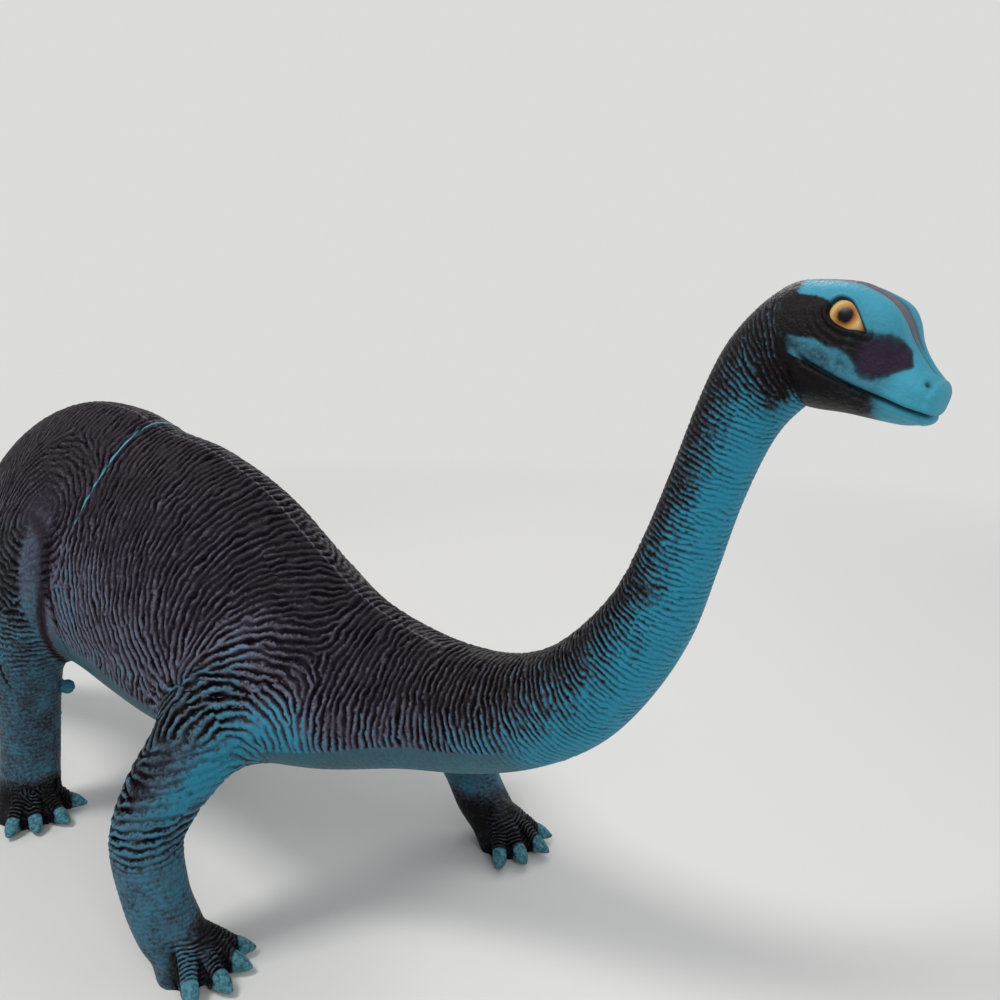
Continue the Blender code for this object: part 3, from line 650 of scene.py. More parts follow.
# The edge of the opening between the lids: shares of the head's length and degrees.
EYE_RIM_SHARES = (
    (0.243, 52.9),
    (0.243, 48.4),
    (0.257, 43.2),
    (0.287, 40.5),
    (0.340, 42.0),
    (0.390, 46.8),
    (0.438, 52.0),
    (0.486, 57.2),
    (0.425, 58.5),
    (0.374, 60.7),
    (0.315, 60.1),
    (0.268, 57.4),
)
DEGREE_SIZE = 0.21 * MM
SOCKET_DEPTH = 1.5 * MM
NOSTRIL_SHARE = 0.911
NOSTRIL_TURN = 52
NOSTRIL_DEPTH = 0.75 * MM
NOSTRIL_RIM = 0.22 * MM
CROWN_PLACES = [0.26, 0.36, 0.54, 0.68, 0.77, 0.9]
CROWN_TURNS = [5, 12, 14, 10, 7, 7]
CROWN_GROOVE_DEPTH = 0.34 * MM
CROWN_RIDGE_HEIGHT = 0.20 * MM
HEAD_POINTS = 400
HEAD_STEP = 0.14 * MM
SNOUT_RINGS = 30
# A lip: its height, its distance above the mouth line and its half width, in mm.
LIPS = ((0.30, 1.25, 0.8), (0.34, -1.2, 0.7))
# A fold round the eye: its height, its distance from the lids' edge and its half width in mm,
# how much of it runs on above the eye, and the shares of the head between which it fades out.
LID_FOLDS = (
    (0.48, 0.42, 0.34, 1.00, 9.00, 9.10),
    (-0.16, 1.05, 0.26, 0.35, 9.00, 9.10),
    (0.12, 1.65, 0.34, 0.00, 9.00, 9.10),
    (-0.15, 2.40, 0.30, 0.00, 0.42, 0.55),
    (-0.12, 3.60, 0.34, 0.00, 0.30, 0.42),
)
print("the face has", len(FACE_SHARES), "swells and hollows and", len(LID_FOLDS), "lid folds")


# %% Moulding the head
HEAD_PLACES = [0] + [row[0] for row in HEAD_SHARES]
HEAD_FORWARD = np.array([math.cos(HEAD_PITCH), 0, -math.sin(HEAD_PITCH)])
HEAD_UPWARD = np.array([math.sin(HEAD_PITCH), 0, math.cos(HEAD_PITCH)])


def head_place(along_share):
    """Stations of the head from shares of its length."""
    return HEAD_START + np.interp(along_share, HEAD_PLACES, range(len(HEAD_PLACES)))


def face_relief(along, turn):
    relief = 0
    for place, degrees, reach, spread, height in FACE_SHARES:
        away = ((along - place) / reach) ** 2 + ((turn - degrees) / spread) ** 2
        relief = relief + height * np.exp(-away)
    return relief * BROW_HEIGHT


def head_grid():
    """The head's rings with their shares and turns. The last rings close round the snout's tip."""
    angles = around(HEAD_POINTS)
    start = length_at(HEAD_SEAM_STATION)
    low, high = start - RUN_ON, LINE_LENGTHS[-1]
    lengths = np.linspace(low, high, int((high - low) / (HEAD_STEP * FINE)))
    stations = station_at(lengths)
    along = np.interp(stations - HEAD_START, range(len(HEAD_PLACES)), HEAD_PLACES)
    relief = face_relief(along[:, None], degrees_from_top(angles)[None])
    relief = relief * ease(HEAD_START, HEAD_START + 0.6, stations)[:, None]
    rings = body_sections(stations, angles, relief - run_on(lengths, start, high)[:, None])
    last = rings[-1]
    middle = last.mean(axis=0)
    end = HEAD_SHARES[-1][0]
    quarter = np.linspace(0, 1, int(SNOUT_RINGS / FINE))[1:] * math.radians(89)
    closing = []
    for turn in quarter:
        reach = (SNOUT_TIP_SHARE - end) * HEAD_LENGTH * math.sin(turn)
        closing.append(middle + (last - middle) * math.cos(turn) ** SNOUT_BLUNTNESS + HEAD_FORWARD * reach)
    along = np.concatenate((along, end + (SNOUT_TIP_SHARE - end) * np.sin(quarter)))
    stations = np.concatenate((stations, np.full(len(quarter), LAST_STATION)))
    return np.concatenate((rings, closing)), stations, along, angles


def on_head(share, degrees, side):
    """A point of the head's surface, from its share of the length and its turn from the crown."""
    turn = [side * math.radians(degrees)]
    return body_sections(head_place(share), turn, face_relief(share, degrees))[0, 0]


def eye_axes(side):
    """The middle of an eye on the skin, with its outward, forward and upward directions."""
    forward = unit(on_head(EYE_SHARE + 0.05, EYE_TURN, side) - on_head(EYE_SHARE - 0.05, EYE_TURN, side))
    upward = unit(on_head(EYE_SHARE, EYE_TURN - 6, side) - on_head(EYE_SHARE, EYE_TURN + 6, side))
    outward = unit(np.cross(upward, forward)) * side
    if outward[1] * side < 0:
        outward = -outward
    return on_head(EYE_SHARE, EYE_TURN, side), outward, forward, unit(np.cross(outward, forward)) * side


def rim_distance(along, turn):
    """Distance on the skin from the edge of the almond opening between the lids, negative inside it."""
    corners = np.array(EYE_RIM_SHARES)
    corners = np.concatenate((corners[-2:], corners, corners[:3]))
    curve = read_rows(corners, np.linspace(2, len(corners) - 3, 73)[:-1]) * (HEAD_LENGTH, DEGREE_SIZE)
    points = np.stack((along * HEAD_LENGTH, turn * DEGREE_SIZE), axis=1)
    nearest = np.full(len(points), 1.0)
    crossings = np.zeros(len(points), int)
    for start, end in zip(curve, np.roll(curve, -1, axis=0)):
        way = end - start
        share = np.clip((points - start) @ way / (way @ way), 0, 1)
        nearest = np.minimum(nearest, np.linalg.norm(points - start - share[:, None] * way, axis=1))
        spans = (start[1] > points[:, 1]) != (end[1] > points[:, 1])
        reach = start[0] + (points[:, 1] - start[1]) * way[0] / (way[1] if way[1] else 1e-12)
        crossings += spans & (points[:, 0] < reach)
    return np.where(crossings % 2 == 1, -nearest, nearest)


def mould_face(skin):
    """Lids, folds, lips, nostrils and the crown's ridge, pressed into or raised from the head, with painted
    shade in the pressed marks.
    """
    along, turn = skin.along, skin.turn
    x, z = read_rows(BODY_ROWS, HEAD_START)[0][:2]
    local = skin.points - SHIFT - (x, 0, z)
    ahead, above = local @ HEAD_FORWARD, local @ HEAD_UPWARD
    places, heights = np.array(MOUTH_LINE_SHARES).T
    gap = skin.gap = above - np.interp(ahead / HEAD_LENGTH, places, heights) * HEAD_DEPTH
    mouth = ease(MOUTH_CORNER_SHARE - 0.03, MOUTH_CORNER_SHARE + 0.05, along)
    mouth = mouth * (1 - 0.8 * ease(0.975, 1.01, along))
    push = -MOUTH_DEPTH * mouth * hump(gap, 0, MOUTH_WIDTH)
    for height, place, width in LIPS:
        push += mouth * height * MM * hump(gap, place * MM, width * MM)
    push += 0.25 * MM * hump(along, MOUTH_CORNER_SHARE - 0.05, 0.03) * hump(turn, 93, 9)
    rim = rim_distance(along, turn)
    below = ease(50, 56, turn)
    push -= SOCKET_DEPTH * (1 - ease(-0.45 * MM, 0.05 * MM, rim))
    for height, place, width, over, fade, gone in LID_FOLDS:
        fold = height * MM * hump(rim, place * MM, width * MM) * (over + (1 - over) * below)
        push += fold * (1 - ease(fade, gone, along))
    pit = hump(along, NOSTRIL_SHARE, 0.020) * hump(turn, NOSTRIL_TURN, 7)
    push -= NOSTRIL_DEPTH * pit
    push += NOSTRIL_RIM * hump(along, NOSTRIL_SHARE - 0.01, 0.05) * hump(turn, NOSTRIL_TURN, 17)
    ridge = ease(0.20, 0.32, along) * (1 - ease(0.86, 0.95, along))
    groove_turn = np.interp(along, CROWN_PLACES, CROWN_TURNS)
    push -= CROWN_GROOVE_DEPTH * ridge * hump(turn, groove_turn, 3.4)
    push += CROWN_RIDGE_HEIGHT * ridge * hump(turn, 0, 5)
    skin.points = skin.points + skin.normals() * push[:, None]
    # Painted shade in the mouth, the nostrils, the crown's grooves, the fold below the lids and the eye
    # sockets.
    crease_shade = mouth * hump(gap, 0, 0.5 * MM) + pit * 0.9 + 0.75 * ridge * hump(turn, groove_turn, 3.0)
    crease_shade += 0.6 * below * hump(rim, 1.05 * MM, 0.2 * MM)
    crease_shade += hump(rim, 0.0, 0.22 * MM) + ease(0.05 * MM, -0.2 * MM, rim)
    skin.values["pressed"] = np.clip(crease_shade, 0, 1)


head_rings, head_stations, head_along, head_angles = head_grid()
head = ring_skin("head", head_rings)
head.stations = np.repeat(head_stations, len(head_angles))
head.along = np.repeat(head_along, len(head_angles))
head.turn = np.tile(degrees_from_top(head_angles), len(head_along))
mould_face(head)
skins = {skin.name: skin for skin in (trunk, neck, hindquarters, tail, head)}
skins.update(legs)
for name, skin in skins.items():
    print(name, len(skin.quads), "faces")

# %% [markdown]
# On the real toy the skin runs smoothly from the shoulder into the arm, and the haunch meets the
# flank in a tighter fold. Two forms blend where each point is pushed out until it lies on one
# smooth surface round both. A point beyond the fold keeps to its own form, inside the other one.

# %% Blending the legs into the body
FORE_BLEND = 11 * MM
HIND_BLEND = 6 * MM
BLEND_ROUNDS = 4
NEAR_ENOUGH = 0.05 * MM


def tree_of(points, quads):
    return BVHTree.FromPolygons(points.tolist(), quads.tolist())


def signed_distance(tree, point):
    """Distance from a form's surface, negative inside it, and the direction away from it."""
    place, normal, _, distance = tree.find_nearest(point)
    away = point - place
    if away.dot(normal) < 0:
        return -distance, -away.normalized()
    if distance < NEAR_ENOUGH:
        return distance, normal
    return distance, away.normalized()


def blend_point(own, other, point, reach):
    """The point pushed out to the blended surface, its two distances there and the way out."""
    for _ in range(BLEND_ROUNDS):
        to_own, own_way = signed_distance(own, point)
        to_other, other_way = signed_distance(other, point)
        overlap = max(reach - abs(to_own - to_other), 0) / reach
        short = to_own - overlap * overlap * reach / 4
        way = own_way
        if to_own < to_other:
            way = own_way * (1 - overlap / 2) + other_way * (overlap / 2)
        size = way.length_squared
        if size < 0.1:
            break
        point = point - way * (short / size)
    nearer, further = (own_way, other_way) if to_own < to_other else (other_way, own_way)
    return point, to_own, to_other, nearer * (1 - overlap / 2) + further * (overlap / 2)


def blend_skin(skin, own, other, reach, low, high):
    """Blends the points of a skin that lie in a box and near the other form."""
    inside = np.all((skin.points > low - reach) & (skin.points < high + reach), axis=1)
    moved = 0
    for index in np.nonzero(inside)[0]:
        point = Vector(skin.points[index])
        near = other.find_nearest(point, reach)
        if near[0] is None:
            continue
        point, to_own, to_other, out = blend_point(own, other, point, reach)
        skin.points[index] = point
        skin.blend_out[index] = out.normalized()
        share = 0.5 - 0.5 * max(-1, min(1, (to_other - to_own) / reach))
        skin.other_share[index] = max(skin.other_share[index], share)
        moved += 1
    print(skin.name, "blended", moved, "points")


for skin in skins.values():
    skin.other_share = np.zeros(len(skin.points))
    skin.blend_out = np.zeros((len(skin.points), 3))
body_grid = body_sections(even_stations(0, HEAD_SEAM_STATION, 1.5 * MM), around(180 * FINE))
body_form = ring_skin("body_form", body_grid)
body_tree = tree_of(body_form.points, body_form.quads)
for name, leg in legs.items():
    reach = FORE_BLEND if "fore" in name else HIND_BLEND
    leg_tree = tree_of(leg.points, leg.quads)
    low, high = leg.points.min(axis=0), leg.points.max(axis=0)
    for skin in (trunk, hindquarters):
        if "fore" in name and skin is hindquarters:
            continue
        blend_skin(skin, body_tree, leg_tree, reach, low, high)
    blend_skin(leg, leg_tree, body_tree, reach, low, high)

# %% [markdown]
# The folds of the hide run in a direction that changes over the body. They are rings round the
# spine on the chest and neck. On the flank they fan out of the armpit and bend forwards on their
# way up. They arch over the arm and over the haunch, and lie level round each leg.
# Each point of the skin gets that direction, the spacing of its folds and their depth. From
# here on, heights are in mm above the floor, and angles in degrees from the top of a section.

# %% Places that the folds gather round
ARMPIT = np.array([58.5, 42.0, 79.0]) * MM
ARM_ROOT = np.array([71.0, 38.0, 62.0]) * MM
HAUNCH = np.array([-34.0, 34.0, 119.0]) * MM
FAN_BEND = math.radians(56)
FAN_BEND_REACH = 34 * MM
FAN_RISES = np.radians([-40, 0, 35, 65, 100])
FAN_REACHES = np.array([22, 34, 46, 75, 125]) * MM
HIDDEN_FROM = 0.53
FORE_FROM = 30 * MM


def flat_part(vectors, normals):
    """The part of each vector that lies in the skin, at unit length."""
    flat = vectors - normals * np.sum(vectors * normals, axis=1, keepdims=True)
    return flat / np.maximum(np.linalg.norm(flat, axis=1, keepdims=True), 1e-9)


def nearest_stations(points):
    """The station of the body line nearest to each point, seen from the side."""
    stations = np.linspace(0, LAST_STATION, 420)
    line = read_rows(BODY_ROWS, stations)[:, :2] + SHIFT[[0, 2]]
    nearest = np.empty(len(points))
    for first in range(0, len(points), 20000):
        part = points[first : first + 20000][:, [0, 2]]
        gaps = ((part[:, None] - line[None]) ** 2).sum(axis=2)
        nearest[first : first + 20000] = stations[np.argmin(gaps, axis=1)]
    return nearest


def place_on_body(skin):
    """The station of each point, and its angle from the top of its section."""
    if not hasattr(skin, "stations"):
        skin.stations = nearest_stations(skin.points)
    blended = skin.other_share > 0
    skin.stations[blended] = nearest_stations(skin.points[blended])
    x, z, _, _, _, _, lean = read_rows(BODY_ROWS, skin.stations).T
    local = skin.points - SHIFT
    rise = (local[:, 2] - z) * np.cos(lean) - (local[:, 0] - x) * np.sin(lean)
    skin.angle = np.abs(np.arctan2(local[:, 1], rise))
    skin.line_way = np.stack((np.cos(lean), np.zeros(len(lean)), np.sin(lean)), axis=1)
    skin.side = np.where(skin.points[:, 1] < SHIFT[1], -1.0, 1.0)
    skin.leg_share = 1 - skin.other_share if skin.name in legs else skin.other_share
    skin.out = np.where(blended[:, None], skin.blend_out, skin.normals())
    skin.hidden = skin.other_share > HIDDEN_FROM


def mirrored(place, side):
    return np.stack((np.full(len(side), place[0]), side * place[1], np.full(len(side), place[2])), axis=1)


def near_place(skin, place, inner, outer):
    """1 round a place on either side of the body, falling to 0. The distances are in mm."""
    distance = np.linalg.norm(skin.points - mirrored(place, skin.side), axis=1)
    return 1 - ease(inner * MM, outer * MM, distance)


def fan_way(skin):
    """Square to folds that leave the armpit and bend forwards with distance, and its weight."""
    out = skin.points - mirrored(ARMPIT, skin.side)
    distance = np.linalg.norm(out, axis=1)
    fold = flat_part(out, skin.out)
    bend = (skin.side * FAN_BEND * (1 - np.exp(-distance / FAN_BEND_REACH)))[:, None]
    way = np.cross(skin.out, fold) * np.cos(bend) - fold * np.sin(bend)
    reach = np.interp(np.arctan2(out[:, 2], out[:, 0]), FAN_RISES, FAN_REACHES)
    return way, 1 - ease(reach * 0.75, reach * 1.2, distance)


def ring_way(skin, middle, inner, outer):
    """Away from a middle, so that the folds run round it, and its weight."""
    out = skin.points - mirrored(middle, skin.side)
    return flat_part(out, skin.out), near_place(skin, middle, inner, outer)


def blended_way(ways, normals):
    """One direction from several, where opposite directions count as the same."""
    total = ways[0][0]
    for way, weight in ways[1:]:
        sign = np.where(np.sum(total * way, axis=1) < 0, -1, 1)[:, None]
        total = total * (1 - weight[:, None]) + way * sign * weight[:, None]
        total = flat_part(total, normals)
    return total


# %% Folds of each casting
FOLD_STATIONS = [0, 5, 8.7, 11, 13, 15, 17, 20, 24]
FOLD_SPACINGS = np.array([2.0, 2.4, 2.5, 2.5, 2.4, 2.1, 1.65, 1.35, 1.2]) * MM
FOLD_DEPTHS = np.array([0.20, 0.46, 0.56, 0.62, 0.60, 0.46, 0.26, 0.20, 0.16]) * MM
BELLY_STATIONS = [0, 5, 8, 10, 12, 13.5, 14.5, 15.5, 17, 19]
BELLY_FROM = [158, 140, 124, 121, 119, 114, 107, 112, 124, 140]
# Where the thigh's crease and its serrated groove run, in mm along the body at these heights.
CREASE_HEIGHTS = [50, 78, 118, 126]
CREASE_PLACES = [-17, -17.5, -24.5, -28]
SERRATED_HEIGHTS = [50, 91, 127, 136]
SERRATED_PLACES = [-42.5, -51, -62, -66]
ZIGZAG_LENGTH = 2.6
ZIGZAG_DEPTH = 0.8
TOE_FOLD_DEPTH = 0.30 * MM
ARM_FRONT = np.array([0.85, 0, 0.35])
# Folds by their height on the leg in mm: spacing and depth in mm, and contrast of the paint,
# each for a foreleg and for a hind leg.
LEG_FOLDS = (
    (([0, 36, 50, 75], [1.4, 1.7, 3.1, 3.1]), ([0, 40, 80, 110], [1.4, 1.7, 2.2, 3.0])),
    (
        ([0, 10, 34, 44, 70, 82], [0.08, 0.12, 0.14, 0.85, 0.90, 0.60]),
        ([0, 10, 60, 90, 110], [0.08, 0.12, 0.16, 0.36, 0.56]),
    ),
    (([0, 34, 44], [0.08, 0.12, 1.3]), ([0, 60, 90], [0.08, 0.14, 0.9])),
)


def belly_mask(skin):
    """1 on the smooth strip under the belly and chest."""
    edge = np.interp(skin.stations, BELLY_STATIONS, BELLY_FROM)
    strip = ease(-1.5, 1.5, np.degrees(skin.angle) - edge)
    return strip * (1 - ease(15.4, 16.8, skin.stations)) * (1 - ease(0.15, 0.45, skin.leg_share))


def haunch_marks(skin):
    """The smooth strip down the thigh, the crease before it and the serrated groove behind it."""
    x, _, z = skin.points.T / MM
    outer = ease(0.2, 0.5, skin.out[:, 1] * skin.side) * (x < 0)
    ahead = np.interp(z, CREASE_HEIGHTS, CREASE_PLACES) - x
    tall = outer * ease(66, 76, z)
    strip = tall * ease(122, 114, z) * ease(0.5, 2.0, ahead) * ease(12.5, 9.5, ahead)
    crease = tall * ease(124, 116, z) * hump(ahead, -0.4, 0.9)
    zigzag = ZIGZAG_DEPTH * np.abs((z / ZIGZAG_LENGTH) % 1 - 0.5) * 2
    behind = x - np.interp(z, SERRATED_HEIGHTS, SERRATED_PLACES) - zigzag
    serrated = outer * ease(52, 60, z) * ease(136, 128, z) * hump(behind, 0, 0.8)
    return strip, crease, serrated


def toe_marks(skin):
    """The ways along a leg's toes with their weights, and a mask of the toes. Sets the gaps between."""
    z = skin.points[:, 2] / MM
    ways, toes = [], np.zeros(len(z))
    nearest, reached = np.full(len(z), 1.0), np.zeros(len(z))
    for along, beside, flesh, outward in toe_places(skin):
        nearest = np.where(along > 3 * MM, np.minimum(nearest, beside), nearest)
        reached = np.maximum(reached, along)
        weight = ease(6 * MM, 9 * MM, along) * ease(5 * MM, 4 * MM, beside) * ease(17, 13, z)
        ways.append((flat_part(np.tile(outward, (len(z), 1)), skin.out), weight))
        toes = np.maximum(toes, weight * ease(flesh + 0.5 * MM, flesh - 0.5 * MM, along))
    skin.toe_gap = ease(2.3 * MM, 3.4 * MM, nearest) * (nearest < 0.5)
    skin.toe_gap *= ease(6 * MM, 9.5 * MM, reached) * ease(17, 12, z)
    return ways, toes


def fold_ways(skin):
    """The directions across the folds of body, fan, arm, haunch and leg, each with its weight."""
    z, fore = skin.points[:, 2] / MM, skin.points[:, 0] > FORE_FROM
    ways = [(flat_part(skin.line_way, skin.out), np.ones(len(z)))]
    if skin.name in ("trunk", "hindquarters") or skin.name in legs:
        way, weight = fan_way(skin)
        ways.append((way, weight * (1 - ease(0.6, 1.0, skin.leg_share))))
        way, weight = ring_way(skin, ARM_ROOT, 19, 27)
        ways.append((way, weight * ease(60, 72, z) * fore))
    if skin.name == "hindquarters" or "hind_leg" in skin.name:
        ways.append(ring_way(skin, HAUNCH, 26, 36))
    top = np.where(fore, 74, 96)
    weight = (1 - ease(top - 12, top, z)) * ease(0.25, 0.75, skin.leg_share)
    return ways + [(flat_part(np.tile(UP, (len(z), 1)), skin.out), weight)]


def set_folds(skin):
    """Direction across the folds, their spacing, depth and contrast, for each point of a skin."""
    place_on_body(skin)
    ways, toes, skin.toe_gap = [], 0, np.zeros(len(skin.points))
    if skin.name in legs:
        ways, toes = toe_marks(skin)
    skin.way = blended_way(fold_ways(skin) + ways, skin.out)
    z, leg = skin.points[:, 2] / MM, skin.leg_share
    fore = skin.points[:, 0] > FORE_FROM
    front = ease(60, 105, np.degrees(skin.angle)) * ease(15.5, 17.5, skin.stations)
    smooth = belly_mask(skin)
    spacing = np.interp(skin.stations, FOLD_STATIONS, FOLD_SPACINGS)
    depth = np.interp(skin.stations, FOLD_STATIONS, FOLD_DEPTHS) * (1 - 0.55 * front) * (1 - 0.85 * smooth)
    contrast = 1 - 0.42 * front - 0.35 * ease(19, 21, skin.stations) * (1 - front)
    contrast = contrast * (1 - 0.95 * smooth)
    leg_spacing, leg_depth, leg_contrast = (
        np.where(fore, np.interp(z, *foreleg), np.interp(z, *hind_leg)) for foreleg, hind_leg in LEG_FOLDS
    )
    arm_front = ease(0.0, 0.7, skin.out @ ARM_FRONT) * fore
    arm = (1 - 0.8 * arm_front * ease(40, 52, z) * ease(76, 66, z)) * leg
    skin.strip, skin.crease, skin.serrated = haunch_marks(skin)
    plain = (1 - 0.9 * near_place(skin, HAUNCH, 4, 14)) * (1 - 0.85 * skin.strip)
    skin.spacing = (spacing * (1 - leg) + leg_spacing * MM * leg) * (1 - 0.15 * toes)
    skin.depth = (depth * (1 - leg) + leg_depth * MM * arm) * plain + TOE_FOLD_DEPTH * toes
    skin.contrast = (contrast * (1 - leg) + leg_contrast * arm) * plain + 0.9 * toes


for skin in skins.values():
    set_folds(skin)
spacings = np.round([trunk.spacing.min() / MM, trunk.spacing.max() / MM], 1)
print("folds of the trunk are", *spacings, "mm apart")

# %% [markdown]
# The folds themselves are waves. Noise would give pebbles only, and plain stripes can't follow
# a changing direction. So seeds are scattered over the skin, each with a short stretch of
# wave, and neighbours shift their waves until these agree. Where the direction turns, the waves
# fork and merge, as the folds in the real hide do. The seeds come from one numbered random draw,
# so that every run gives the same folds.

# %% Seeds of the folds
SEEDS_PER_SPACING = 1.3
SEED_REACH = 1.6
SEED_JITTER = 0.1 * MM
SEED_ROUNDS = 24
FINE_SPACING = 2.1 * MM
draw = np.random.default_rng(38)
SEEDED = [skin for skin in skins.values() if skin.name != "head"]


def gather(key):
    return np.concatenate([getattr(skin, key) for skin in SEEDED])


def dots(a, b):
    return np.einsum("ij,ij->i", a, b)


chance = np.concatenate([skin.areas() * SEEDS_PER_SPACING / skin.spacing**2 for skin in SEEDED])
chosen = (draw.random(len(chance)) < chance) & ~gather("hidden")
seeds = SimpleNamespace(**{key: gather(key)[chosen] for key in ("points", "out", "way", "spacing")})
seeds.points = seeds.points + draw.normal(0, SEED_JITTER, seeds.points.shape)
print(len(seeds.points), "seeds")


def close_pairs(points, centres, reach):
    """Pairs of a point and a centre no further apart than that centre's reach, in batches."""
    cell = float(reach.max())
    spans = np.array([1, 4096, 4096 * 4096])
    low = np.minimum(points.min(axis=0), centres.min(axis=0)) - 2 * cell
    keys = np.floor((points - low) / cell).astype(np.int64) @ spans
    order = np.argsort(keys, kind="stable")
    keys = keys[order]
    home = np.floor((centres - low) / cell).astype(np.int64) @ spans
    for step in itertools.product((-1, 0, 1), repeat=3):
        wanted = home + np.array(step) @ spans
        first = np.searchsorted(keys, wanted, "left")
        count = np.searchsorted(keys, wanted, "right") - first
        centre = np.repeat(np.arange(len(centres)), count)
        within = np.arange(len(centre)) - np.repeat(np.cumsum(count) - count, count)
        point = order[np.repeat(first, count) + within]
        gap = points[point] - centres[centre]
        distance = dots(gap, gap)
        keep = distance < reach[centre] ** 2
        yield point[keep], centre[keep], gap[keep], distance[keep]


def wave_sum(skin):
    """The summed waves of the seeds at the points of a skin, or of the seeds, as complex numbers."""
    total = np.zeros(len(skin.points), complex)
    for fine in (True, False):
        group = np.nonzero((seeds.spacing < FINE_SPACING) == fine)[0]
        reach = SEED_REACH * seeds.spacing[group]
        for point, centre, gap, distance in close_pairs(skin.points, seeds.points[group], reach):
            seed = group[centre]
            facing = np.maximum(dots(skin.out[point], seeds.out[seed]), 0)
            weight = (1 - distance / reach[centre] ** 2) ** 2 * facing**2
            sign = np.where(dots(skin.way[point], seeds.way[seed]) < 0, -1, 1)
            steep = seeds.way[seed] / seeds.spacing[seed][:, None] * sign[:, None]
            steep = math.pi * (steep + skin.way[point] / skin.spacing[point][:, None])
            turn = sign * seeds.phases[seed] + dots(steep, gap)
            total += np.bincount(point, weight * np.cos(turn), len(total))
            total += 1j * np.bincount(point, weight * np.sin(turn), len(total))
    return total


seeds.phases = draw.random(len(seeds.points)) * 2 * math.pi
for _ in range(SEED_ROUNDS):
    seeds.phases = np.angle(wave_sum(seeds))
print("waves agreed after", SEED_ROUNDS, "rounds")


# %% Pressing the folds in
BEAD_DEPTH = 0.22 * MM
CREASE_DEPTH = 1.1 * MM
SERRATED_DEPTH = 0.9 * MM
BUMP_SIZE = 1.3 * MM
PATCH_SIZE = 5 * MM
FULL_WAVE = 1.2
# How far noise shifts the waves, in radians for each size of its bumps.
WOBBLES = ((3.2 * MM, 2.0), (9 * MM, 2.2))


def uneven(points, size):
    """Smooth noise over the skin, mostly between -0.5 and 0.5, with bumps of about the given size."""
    return np.array([noise.noise(point) for point in (points / size).tolist()])


def press_folds(skin):
    """Pushes the skin inwards along the grooves between its folds, and keeps the waves for the paint."""
    wobble = sum(uneven(skin.points, size) * shift for size, shift in WOBBLES)
    total = wave_sum(skin) * np.exp(1j * wobble)
    wave = total / np.maximum(np.abs(total), 1e-9) * np.clip(np.abs(total) / FULL_WAVE, 0, 1)
    groove = ((1 - np.cos(np.angle(total))) / 2) ** 2 * np.abs(wave)
    patchy = 0.88 + 0.7 * uneven(skin.points + 0.5, PATCH_SIZE)
    beads = BEAD_DEPTH * uneven(skin.points, BUMP_SIZE) * (skin.depth > 0.2 * MM)
    inwards = groove * skin.depth * patchy + beads + CREASE_DEPTH * skin.crease
    inwards += SERRATED_DEPTH * skin.serrated + TOE_GAP_DEPTH * skin.toe_gap
    skin.points = skin.points - skin.out * inwards[:, None]
    wave = wave * skin.contrast * np.clip(patchy, 0.3, 1.1)
    skin.values["wave_cos"], skin.values["wave_sin"] = wave.real, wave.imag


for skin in SEEDED:
    press_folds(skin)
print("folds pressed in")

# %% [markdown]
# The casting is turquoise vinyl. It was sprayed near-black along the back, which thins out over
# the flank to a violet grey, and a dark wash was left in the grooves. The grooves, creases and
# pressed-in marks are darkened further with painted shade. Each skin gets these as values from
# 0 to 1 per point: how dark the spray is, how bright the turquoise under it is, where a nail or a
# bare moulding line shows, and where a pressed-in mark gets painted shade. Values on the points
# need no image to wrap round a form, and they follow the folds exactly.

# %% Paint masks
# The spray by station: near black to the first angle, half as dark at the second, gone at the third.
SPRAY_STATIONS = [0, 5, 8.7, 11, 13, 14.6, 17, 20, 22, 24]
SPRAY_BLACK_TO = [50, 56, 62, 56, 66, 64, 50, 46, 46, 60]
SPRAY_HALF_AT = [80, 90, 100, 108, 104, 98, 87, 90, 90, 98]
SPRAY_ENDS_AT = [115, 130, 165, 165, 150, 140, 136, 140, 138, 136]
BRIGHT_STATIONS = [0, 9, 13, 14.5, 17, 24]
BRIGHTNESS = [0.10, 0.10, 0.25, 0.50, 0.95, 0.90]
SHOULDER_PATCH = np.array([85.0, 34.0, 67.0]) * MM
ARMPIT_STROKES = np.array([73.0, 36.0, 97.0]) * MM
FLANK_STROKES = np.array([-6.0, 40.0, 98.0]) * MM
# The dark band through the eye: its upper and lower edge in degrees, along the head.
BAND_PLACES = [0.00, 0.09, 0.165, 0.234, 0.30, 0.40, 0.48, 0.56, 0.63, 0.69, 0.74, 0.80]
BAND_TOP = [14, 40, 41, 45, 56, 58, 56, 53, 46, 37, 33, 45]
BAND_END = [80, 79, 76, 75, 77, 76, 79, 87, 84, 76, 62, 47]


def body_paint(skin):
    """How dark the spray is, from black on the back to nothing low down, and how bright the paint is."""
    turn = np.degrees(skin.angle)
    edges = (SPRAY_BLACK_TO, SPRAY_HALF_AT, SPRAY_ENDS_AT)
    black, half, end = (np.interp(skin.stations, SPRAY_STATIONS, edge) for edge in edges)
    fall = 0.18 * np.clip(turn / black, 0, 1)
    fall += 0.34 * np.clip((turn - black) / (half - black), 0, 1)
    fall += 0.48 * np.clip((turn - half) / (end - half), 0, 1)
    bright = np.interp(skin.stations, BRIGHT_STATIONS, BRIGHTNESS)
    strokes = 0.32 * near_place(skin, ARMPIT_STROKES, 6, 18) + 0.14 * near_place(skin, FLANK_STROKES, 4, 20)
    throat = ease(21.8, 23.7, skin.stations) * ease(45, 75, turn) * ease(165, 135, turn)
    dark = np.maximum(1 - fall - strokes, 0.82 * throat)
    return np.clip(dark, 0, 1), np.clip(bright + strokes, 0, 1)


